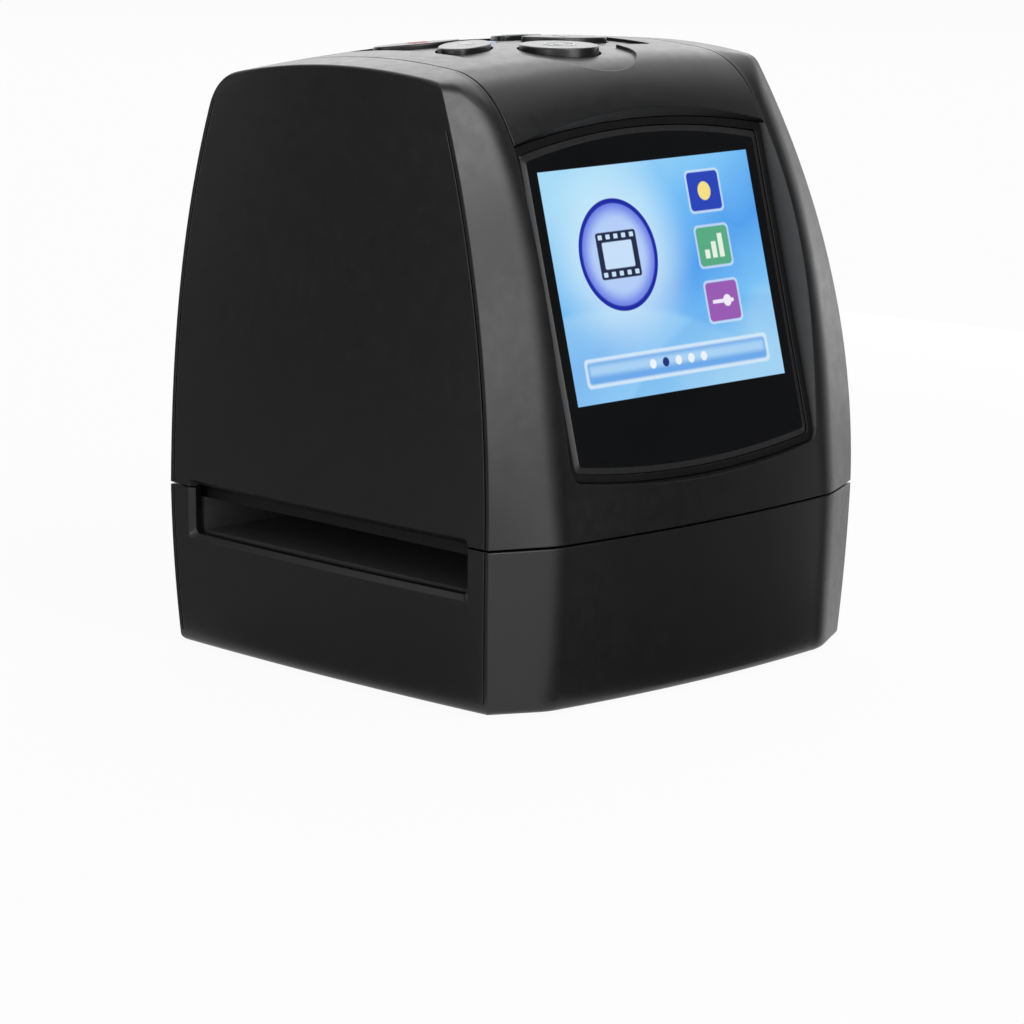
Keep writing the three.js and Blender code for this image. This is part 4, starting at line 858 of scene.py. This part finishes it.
def printed(name, color, glow=0.0):
    """Ink printed on a key: slightly uneven, with a dull finish, and with a painted glow where one is given,
    as ink gives no light.
    """
    look = Look(name)
    uneven = look.noise(3.0)
    ink = look.shades(uneven, tuple(c * 0.85 for c in color), color)
    # Painted glow: the ink gives off light of its own colour, which real print does not.
    if glow:
        look.put("Emission Color", ink)
        look.put("Emission Strength", glow)
    return look.done(ink, uneven * 0.2 + 0.4, uneven, 0.3, 0.01)


SHELL = moulded("satin_black_plastic", (0.004, 0.0041, 0.0045), (0.0062, 0.0063, 0.0068), 0.36, edge=0.22)
KEY = moulded("key_plastic", (0.01, 0.0101, 0.0108), (0.015, 0.0151, 0.0158), 0.3, 3.0, 0.008)
INNER = moulded("inner_plastic", (0.016, 0.016, 0.017), (0.026, 0.026, 0.027), 0.5, 1.6, 0.02)
RIM = moulded("rim_plastic", (0.003, 0.0031, 0.0034), (0.005, 0.0051, 0.0055), 0.42, edge=0.06, specular=0.24)
# Painted light: the passage's grey is raised well above the dark plastic round it, which lifts the shaded
# inside of the film slot.
PASSAGE_PAINTED_LIGHT = moulded("passage_plastic_painted_light", (0.09, 0.09, 0.092), (0.12, 0.12, 0.123), 0.5, 1.6, 0.02, 0, 0.35)
GATE = moulded("gate_plastic", (0.004, 0.004, 0.0042), (0.007, 0.007, 0.0072), 0.5, 1.6, 0.02, 0, 0.25)
PALE = moulded("pale_plastic", (0.6, 0.61, 0.58), (0.72, 0.73, 0.7), 0.48, 1.6)
WHITE = moulded("opal_diffuser", (0.8, 0.81, 0.79), (0.88, 0.89, 0.87), 0.4, 4.0)
RUBBER = moulded("foot_rubber", (0.008, 0.008, 0.008), (0.016, 0.016, 0.016), 0.85, 1.2, 0.04)
LAMP = moulded("lamp_plastic", (0.03, 0.22, 0.75), (0.06, 0.32, 0.88), 0.22, 1.0, 0.005)
GLASS_BACK = moulded("display_body", (0.3, 0.42, 0.5), (0.38, 0.5, 0.58), 0.25, 1.0)
LENS = lens_material()
LENS_RIM = moulded("lens_rim", (0.016, 0.0161, 0.0166), (0.02, 0.0201, 0.0206), 0.3, 3.0, 0.004)
BOARD = board_material()
STEEL = metal("plated_steel", (0.62, 0.63, 0.64), 0.3)
DARK_STEEL = metal("blackened_steel", (0.1, 0.1, 0.105), 0.36)
CABLE = cable_material()

# Finishes of the CAD nodes that still show, by slot or by node
FINISHES = {
    "gloss_panel": LENS, "display_glass": GLASS_BACK, "inner_plastic": INNER, "pale_plastic": PALE,
    "board_green": BOARD, "steel": STEEL, "diffuser_white": WHITE, "cable": CABLE,
    "film_track": PASSAGE_PAINTED_LIGHT, "upper_film_gate": GATE,
}


# Housing pieces

def all_screw_holes():
    holes = []
    for x, y in SCREWS:
        holes += [rod(HEAD_HOLE_R, x, y, -REACH, BASE_BOTTOM + SCREW_SINK),
                  rod(SHANK_HOLE_R, x, y, BASE_BOTTOM, SEAM + REACH)]
    return holes


def wall_boss(x, y, z0, z1, limit):
    """A boss for a screw with a web to the wall, kept inside a form."""
    wall = math.copysign(PANEL_FRONT + FRONT_BEVEL, y)
    web = block(x - WEB_HALF, x + WEB_HALF, min(y, wall), max(y, wall), z0, z1)
    return common(join(rod(BOSS_R, x, y, z0, z1), web), limit)


def edge_grooves(low, high, deep):
    """Cutters for the fine groove beside each upright edge of the side panels."""
    cutters = []
    profile = [(-deep, -0.7), (1, -1.3), (1, 1.3), (-deep, 0.7)]
    for side in (-1, 1):
        for rear in (False, True):
            rings = []
            for i in range(49):
                z = low + (high - low) * i / 48
                p = plan_at(z)
                s = p["edge"] + p["rear_edge"] - GROOVE_AT if rear else GROOVE_AT
                rings.append([(side * (panel_x(p, s) + out), s - p["edge"] + GROOVE_HALF * wide, z)
                              for out, wide in profile])
            cutters.append(solid(rings))
    return cutters


def lower_housing():
    outer = solid(base_form(0, BASE_BOTTOM, SEAM - FIT / 2, FINE, lip=LIP))
    cut(outer, *edge_grooves(BASE_BOTTOM + 2, SEAM + 1, BASE_GROOVE))
    cut(outer, solid(base_form(WALL, BASE_BOTTOM + WALL, SEAM + REACH, COARSE)))
    for x, y in SCREWS:
        limit = solid(base_form(1, BASE_BOTTOM + 1, SEAM + REACH, COARSE))
        join(outer, wall_boss(x, y, BASE_BOTTOM + 1, SEAM - FIT / 2, limit))
    cut(outer, slot_mouth(1), slot_mouth(-1), *socket_cutters(), *all_screw_holes(),
        *[rod(FOOT_R, x, y, -REACH, BASE_BOTTOM + 0.8) for x, y in FEET])
    piece(outer, "lower_housing", SHELL, "base_shell")


def cover_strip(grow):
    return block(-COVER_HALF - grow, COVER_HALF + grow, -60, 60, COVER_FOOT - grow, CREST + 12)


def upper_core(inset, bottom=SEAM - REACH):
    """The upper form drawn in on all sides, from below the seam upwards."""
    return solid(upper_form(inset, inset, bottom, COARSE))


def upper_housing():
    shell = solid(upper_form(0, 0, SEAM + FIT / 2, FINE, lip=LIP))
    cut(shell, *edge_grooves(SEAM - 1, CREST - 8, UPPER_GROOVE))
    collar = common(window_recess(COLLAR, -COLLAR_DEEP), upper_core(0.05, SEAM))
    cut(shell, upper_core(WALL))
    join(shell, collar)
    cut(shell, cover_strip(FIT))
    # Ledge that carries the cover, below its inner side
    for low, high in ((-LEDGE_OUT, -LEDGE_IN), (LEDGE_IN, LEDGE_OUT)):
        bar = common(block(low, high, LEDGE_FRONT, LEDGE_REAR, 80, CREST + 4), upper_core(WALL + FIT))
        cut(bar, upper_core(WALL + FIT + LEDGE_DEEP, SEAM - REACH - 1))
        join(shell, bar)
    for x, y in SCREWS:
        join(shell, wall_boss(x, y, SEAM + FIT / 2, SEAM + 14, upper_core(1)))
    cut(shell, window_recess(0, -14))
    seat = solid(window_rings([(-COLLAR_DEEP, COLLAR), (-BEZEL_DEEP - FIT, COLLAR)]))
    join(shell, cut(seat, solid(window_rings([(-12, -SEAT), (5, -SEAT)]))))
    pilots = [rod(PILOT_R, x, y, SEAM - REACH, SEAM + 5.8) for x, y in SCREWS]
    cut(shell, slot_mouth(1), slot_mouth(-1), *pilots)
    piece(shell, "upper_housing", SHELL, "upper_shell")


def pad_cutter():
    length, middle = PAD_REAR - PAD_FRONT, (PAD_REAR + PAD_FRONT) / 2
    field = rounded_rectangle(PAD_HALF, length / 2, PAD_CORNER, y=middle)
    low, high = CREST - REACH, CREST + REACH + 2
    tool = join(prism(field, low, high), rod(PAD_CIRCLE, 0, SCAN_Y, low, high, 96))
    return cut(tool, solid(upper_form(0, PAD_DEEP, SEAM, FINE)))


def key_cover():
    outer = solid(upper_form(0, 0, SEAM + FIT / 2, FINE))
    cut(outer, upper_core(WALL))
    common(outer, cover_strip(0))
    for y in (POST_FRONT, POST_REAR):
        for x in (-POST_X, POST_X):
            join(outer, common(rod(POST_R, x, y, KEY_BOARD_TOP, CREST + REACH), upper_core(1, SEAM)))
            cut(outer, rod(PILOT_R, x, y, KEY_BOARD_TOP - 4, KEY_BOARD_TOP + 5))
    low, high = CREST - REACH, CREST + REACH
    openings = [prism(key_outline(name, KEY_GAP), low, high) for name in KEYS]
    cut(outer, window_recess(0, -14), pad_cutter(), *openings, rod(LAMP_R + FIT, 0, LAMP_Y, low, high))
    piece(outer, "key_cover", SHELL, "top_cover", sharp=10)


def window_frame():
    """The frame of the window: a band with rounded rims, and a ledge behind the lens."""
    r, ledge = BEZEL_ROUND, -BEZEL_BAND - BEZEL_LEDGE
    profile = [(-BEZEL_DEEP, -BEZEL_GAP)]
    profile += [(b - r, -BEZEL_GAP - a) for a, b in rounded_edge(r)]
    profile += [(b - r, a - BEZEL_BAND) for a, b in reversed(rounded_edge(r))]
    profile += [(-LENS_DEEP - FIT, -BEZEL_BAND), (-LENS_DEEP - FIT, ledge), (-BEZEL_DEEP, ledge)]
    band = solid(window_rings(profile), closed=True)
    piece(band, "window_frame", RIM, "window_bezel")


def window_lens():
    """The gloss panel: a bevelled rim, a printed border and the lit rectangle."""
    edge = -BEZEL_BAND - BEZEL_GAP
    bm = bmesh.new()
    rows = rows_in(bm, window_rings([
        (-LENS_DEEP, edge), (-LENS_BEVEL_DEEP - LENS_EDGE, edge), (-LENS_BEVEL_DEEP, edge - LENS_EDGE),
        (-0.02, edge - LENS_BEVEL + LENS_EDGE), (0, edge - LENS_BEVEL)]))
    rim = {vert for row in rows[2:] for vert in row}
    bm.faces.new(rows[0][::-1])
    hw, hh = SCREEN_W / 2, SCREEN_H / 2
    inner = []
    for x, y in window_outline(edge - LENS_BEVEL):
        a = math.atan2((y - SCREEN_RISE) / hh, x / hw)
        c, s = cos(a), sin(a)
        k = 1 / max(abs(c), abs(s))
        inner.append((hw * c * k, SCREEN_RISE + hh * s * k))
    for corner in [(x, SCREEN_RISE + y) for x in (-hw, hw) for y in (-hh, hh)]:
        nearest = min(range(len(inner)), key=lambda i: math.dist(inner[i], corner))
        inner[nearest] = corner
    row = rows_in(bm, on_window([ring_of(inner, 0)]))[0]
    bridge(bm, rows[-1], row)
    bm.faces.new(row).material_index = 1
    for face in bm.faces:
        if all(vert in rim for vert in face.verts):
            face.material_index = 2
    bmesh.ops.recalc_face_normals(bm, faces=bm.faces)
    looks = [LENS, picture_material(), LENS_RIM]
    piece(object_from(bm), "window_lens", looks, "display_lens", sharp=20)


def key_pieces():
    for name in KEYS:
        piece(key_button(name), name + "_key_top", KEY, name + "_button", name + "_key", 40)
    white = printed("white_ink", (0.78, 0.79, 0.8))
    # The red and green inks have a painted glow: emission that makes the print brighter, though ink gives no
    # light.
    red = printed("red_ink_painted_glow", (0.62, 0.03, 0.035), 0.25)
    green = printed("green_ink_painted_glow", (0.08, 0.42, 0.22), 0.1)
    x, y = KEYS["power"]
    power = [arc_band(x, y, 1.35, 1.75, 130, 410), rounded_rectangle(0.2, 1.0, 0.15, 3, x, y + 1.25)]
    x, y = KEYS["menu"]
    menu = [rounded_rectangle(1.9, 0.24, 0.15, 3, x, y + d) for d in (-1.1, 0, 1.1)]
    x, y = KEYS["scan"]
    scan = [arc_band(x, y, 2.3, 2.65, 0, 359.9, 60), circle(x, y, 0.9, 24)]
    mirror, flip = [triangle(*KEYS["mirror"], 1.7, 180)], [triangle(*KEYS["flip"], 1.7, 0)]
    marks = [("power", power, red), ("menu", menu, green), ("mirror", mirror, white), ("flip", flip, white),
             ("scan", scan, white)]
    for name, outlines, ink in marks:
        piece(inlay(name, outlines), name + "_mark", ink, body=name + "_key", sharp=None)


def status_lamp():
    """The light between the keys: a domed rod with a flange below the cover."""
    top = top_at(0, LAMP_Y)
    dome = [(LAMP_R, KEY_BOARD_TOP + 1), (LAMP_R, top - 0.62), (0.92, top - 0.5), (0.7, top - 0.4),
            (0.35, top - 0.35), (0, top - 0.34)]
    flange = rod(2.2, 0, LAMP_Y, top - WALL - FIT - 1, top - WALL - FIT)
    pipe = joined_mesh([revolved(dome, (0, LAMP_Y, 0)), flange])
    piece(pipe, "status_lamp", LAMP, "status_light_pipe")


def screw(number, x, y):
    """A pan head screw with a cross recess, head down."""
    seat, end = BASE_BOTTOM + SCREW_SINK, SEAM + 5.5
    profile = [(0, seat - 1.4), (1.1, seat - 1.38), (1.6, seat - 1.28), (1.9, seat - 1.0), (2.0, seat - 0.6),
               (2.0, seat - 0.08), (1.92, seat), (1.1, seat)]
    z = seat + 0.5
    while z < end - 1:
        profile += [(0.85, z), (1.1, z + 0.3), (0.85, z + 0.6)]
        z += 0.8
    body = revolved(profile + [(0.5, end), (0, end)], (x, y, 0), sides=28)
    cut(body, join(block(x - 1.1, x + 1.1, y - 0.24, y + 0.24, seat - 3, seat - 0.55),
                   block(x - 0.24, x + 0.24, y - 1.1, y + 1.1, seat - 3, seat - 0.55)))
    piece(body, f"cover_screw_{number}", DARK_STEEL, f"case_screw_{number}")


def foot(number, x, y):
    """A rubber foot with a rounded lower edge."""
    r, edge = FOOT_R - FIT, 0.45
    lower = [(r - edge + b, a) for a, b in rounded_edge(edge, 6)]
    body = revolved([(0, 0)] + lower + [(r, 1.6), (0, 1.6)], (x, y, 0))
    piece(body, f"rubber_foot_{number}", RUBBER, f"foot_{number}")


def usb_pieces():
    """The small socket: a thin pressed shell, its tongue and five contacts."""
    back, front = USB_MOUTH - USB_DEEP, USB_MOUTH
    shell = along_y(usb_outline(0), USB_X, USB_Z, back, front)
    cut(shell, along_y(usb_outline(-0.35), USB_X, USB_Z, back + 0.5, front + 3))
    piece(shell, "usb_shell", STEEL, "usb_socket")
    tongue = block(USB_X - 2.1, USB_X + 2.1, back + 0.4, front - 0.8, USB_Z - 0.1, USB_Z + 0.75)
    piece(tongue, "usb_tongue", INNER)
    pins = [block(USB_X + d - 0.22, USB_X + d + 0.22, back + 0.6, front - 1.0, USB_Z - 0.24, USB_Z - 0.06)
            for d in (-1.6, -0.8, 0, 0.8, 1.6)]
    piece(joined_mesh(pins), "usb_contacts", metal("gold_contacts", (0.8, 0.58, 0.25), 0.25))


def tv_pieces():
    """The round socket: a ring with a lead-in on a square body, and its contact."""
    mouth, front, place = JACK_MOUTH, JACK_MOUTH - 2.6, (JACK_X, 0, JACK_Z)
    ring = [(0, mouth - 9.0), (1.8, mouth - 9.0), (1.8, mouth - 0.35), (2.1, mouth), (2.85, mouth),
            (JACK_R, mouth - 0.15), (JACK_R, mouth - 4.2)]
    body = block(JACK_X - 3.3, JACK_X + 3.3, front - 9, front, SOCKET_TOP, SOCKET_TOP + JACK_H)
    cut(body, along_y(circle(0, 0, 2.6, 40), JACK_X, JACK_Z, front - 8.6, front + 2))
    socket = joined_mesh([revolved(ring, place, "Y"), body])
    piece(socket, "tv_socket", INNER, "tv_jack")
    contact = [(1.78, mouth - 3.2), (1.78, mouth - 2.2), (1.6, mouth - 2.2), (1.6, mouth - 3.2)]
    piece(revolved(contact, place, "Y"), "tv_contact", STEEL)


def click_spring(number):
    """A wound spring behind a click plunger."""
    low, high = (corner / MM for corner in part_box(f"click_spring_{number}"))
    x, z = (low.x + high.x) / 2, (low.z + high.z) / 2
    reach = (high.x - low.x) / 2 - SPRING_WIRE
    start, length = low.y + SPRING_WIRE, high.y - low.y - 2 * SPRING_WIRE
    rings = []
    for i in range(SPRING_TURNS * 24 + 1):
        turn = i / 24 * 2 * pi
        out = Vector((cos(turn), 0, sin(turn)))
        centre = Vector((x, start + length * i / (SPRING_TURNS * 24), z)) + out * reach
        rings.append([centre + out * u + Vector((0, v, 0)) for u, v in circle(0, 0, SPRING_WIRE, 8)])
    spring = solid(rings)
    piece(spring, f"wound_spring_{number}", STEEL, f"click_spring_{number}", sharp=50)
    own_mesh(spring)


def kept_nodes():
    """Every CAD node that still shows takes its own finish or that of its slot."""
    slots = {part["node"]: part["material_slot"] for part in frame["record"]["subparts"]}
    for name, obj in frame["nodes"].items():
        if not obj.hide_render:
            obj.data.materials.clear()
            obj.data.materials.append(FINISHES.get(name) or FINISHES[slots[name]])


# Camera, floor and light

def camera():
    """The photograph's view, turned so that the object lands at its place in the picture."""
    azimuth, elevation, roll = (math.radians(a) for a in CAMERA_ANGLES)
    back = Vector((sin(azimuth) * cos(elevation), -cos(azimuth) * cos(elevation),
                   sin(elevation)))
    level = Vector((cos(azimuth), sin(azimuth), 0))
    raised = back.cross(level)
    right = level * cos(roll) + raised * sin(roll)
    up = raised * cos(roll) - level * sin(roll)
    middle = PICTURE / 2
    forward = right * (middle - CAMERA_CENTRE[0]) - up * (middle - CAMERA_CENTRE[1]) - back * CAMERA_FOCAL
    forward.normalize()
    up = (up - forward * up.dot(forward)).normalized()
    right = forward.cross(up)
    data = bpy.data.cameras.new("camera")
    data.lens = data.sensor_width * CAMERA_FOCAL / PICTURE
    data.clip_end = 50
    obj = linked("camera", data)
    place = Vector((0, 0, CAMERA_AIM)) + back * CAMERA_BACK
    obj.matrix_world = Matrix.Translation(place * MM) @ Matrix((right, up, -forward)).transposed().to_4x4()
    bpy.context.scene.camera = obj


def white_to_camera(tree, share, own, white, output):
    """Shows a share of white for the shader to the camera, also by way of gloss and glass."""
    rays = tree.nodes.new("ShaderNodeLightPath")
    seen = [Net(rays.outputs[name]) for name in ("Is Camera Ray", "Is Glossy Ray", "Is Transmission Ray")]
    factor = seen[0].max(seen[1]).max(seen[2]) * share
    mix = new_node(tree, "MixShader", {0: factor, 1: own.outputs[0], 2: white.outputs[0]})
    feed(tree.nodes[output].inputs["Surface"], mix.outputs[0])


def sheet(name, grey, corners):
    """A flat sheet of one grey, and its shader."""
    mesh = bpy.data.meshes.new(name)
    mesh.from_pydata(corners, [], [(0, 1, 2, 3)])
    material = bpy.data.materials.new(name)
    material.use_nodes = True
    shader = material.node_tree.nodes["Principled BSDF"]
    feed(shader.inputs["Base Color"], (grey, grey, grey))
    feed(shader.inputs["Specular IOR Level"], 0.1)
    mesh.materials.append(material)
    return linked(name, mesh), shader


def floor():
    """A pale sheet, which the camera sees as white apart from the object's shadow."""
    far = 6
    obj, shader = sheet("floor", 0.8, [(-far, -far, 0), (far, -far, 0), (far, far, 0), (-far, far, 0)])
    feed(shader.inputs["Roughness"], 0.9)
    tree = shader.id_data
    glow = new_node(tree, "Emission", {"Color": (1, 1, 1)})
    white_to_camera(tree, FLOOR_WHITE, shader, glow, "Material Output")


def world():
    """Dim even light; the camera sees plain white behind the object."""
    data = bpy.data.worlds.new("studio")
    bpy.context.scene.world = data
    data.use_nodes = True
    room = data.node_tree.nodes["Background"]
    feed(room.inputs["Color"], (1, 1, 1))
    feed(room.inputs["Strength"], ROOM_LIGHT)
    white = new_node(data.node_tree, "Background", {"Color": (1, 1, 1)})
    white_to_camera(data.node_tree, 1, room, white, "World Output")


def softbox(name, place, target, width, height, radiance):
    """An area lamp; its power follows from its size and how bright its face is."""
    data = bpy.data.lights.new(name, "AREA")
    data.shape = "RECTANGLE"
    data.size, data.size_y = width, height
    data.energy = radiance * pi * width * height
    obj = linked(name, data)
    obj.rotation_euler = (Vector(target) - Vector(place)).to_track_quat("-Z", "Y").to_euler()
    obj.location = place


def grey_card(name, shade, *corners):
    """A grey card out of the picture, which only reflections see, as beside the object in the photograph."""
    obj, _ = sheet(name, shade, corners)
    obj.visible_camera = obj.visible_diffuse = obj.visible_shadow = False


lower_housing()
upper_housing()
key_cover()
window_frame()
window_lens()
key_pieces()
status_lamp()
for index, spot in enumerate(SCREWS, 1):
    screw(index, *spot)
for index, spot in enumerate(FEET, 1):
    foot(index, *spot)
usb_pieces()
tv_pieces()
click_spring(1)
click_spring(2)
kept_nodes()
camera()
floor()
world()
softbox("front", (-0.07, -0.95, 0.27), (0, 0, 0.05), 0.46, 0.5, 3.0)
softbox("front_high", (-0.05, -0.68, 0.8), (0, 0, 0.08), 0.5, 0.4, 7.4)
softbox("left", (-0.8, -0.17, 0.14), (0.03, -0.033, 0.06), 0.3, 0.24, 2.2)
softbox("upper", (0.5, -0.4, 1.02), (0, 0, 0.05), 0.35, 0.2, 2.4)
softbox("side_low", (0.34, 0.07, 0.035), (0, 0, 0.035), 0.26, 0.07, 1.7)
softbox("rear", (0.75, 0.75, 0.42), (0, 0, 0.08), 0.7, 0.4, 1.5)
softbox("rear_high", (0.45, 0.45, 0.9), (0, 0, 0.09), 0.6, 0.5, 2.4)
grey_card("card_left", 0.36, (-0.75, 0.28, CARD_Z), (-0.045, -0.032, CARD_Z), (-0.045, 1.3, CARD_Z),
          (-0.75, 1.3, CARD_Z))
grey_card("card_left_wall", 0.3, (-0.75, 0.28, 0), (-0.75, 1.3, 0), (-0.75, 1.3, 0.8), (-0.75, 0.28, 0.8))
grey_card("card_rear_wall", 0.2, (-0.75, 1.3, 0.4), (-0.05, 1.5, 0.4), (-0.05, 1.5, 1.4), (-0.75, 1.3, 1.4))
grey_card("card_front", 0.12, (-0.035, -0.044, CARD_Z), (0.2, -0.8, CARD_Z), (0.75, -0.33, CARD_Z),
          (0.045, -0.042, CARD_Z))
grey_card("card_front_wall", 0.05, (0.18, -0.75, 0), (0.72, -0.24, 0), (0.8, 0.0, 0.85), (0.18, -0.75, 0.85))
grey_card("card_above", 0.2, (-0.1, -2.0, 1.4), (2.2, -2.2, 1.4), (0.9, -0.2, 1.4), (-0.1, 0.2, 1.4))
bpy.context.scene.view_settings.view_transform = "Standard"
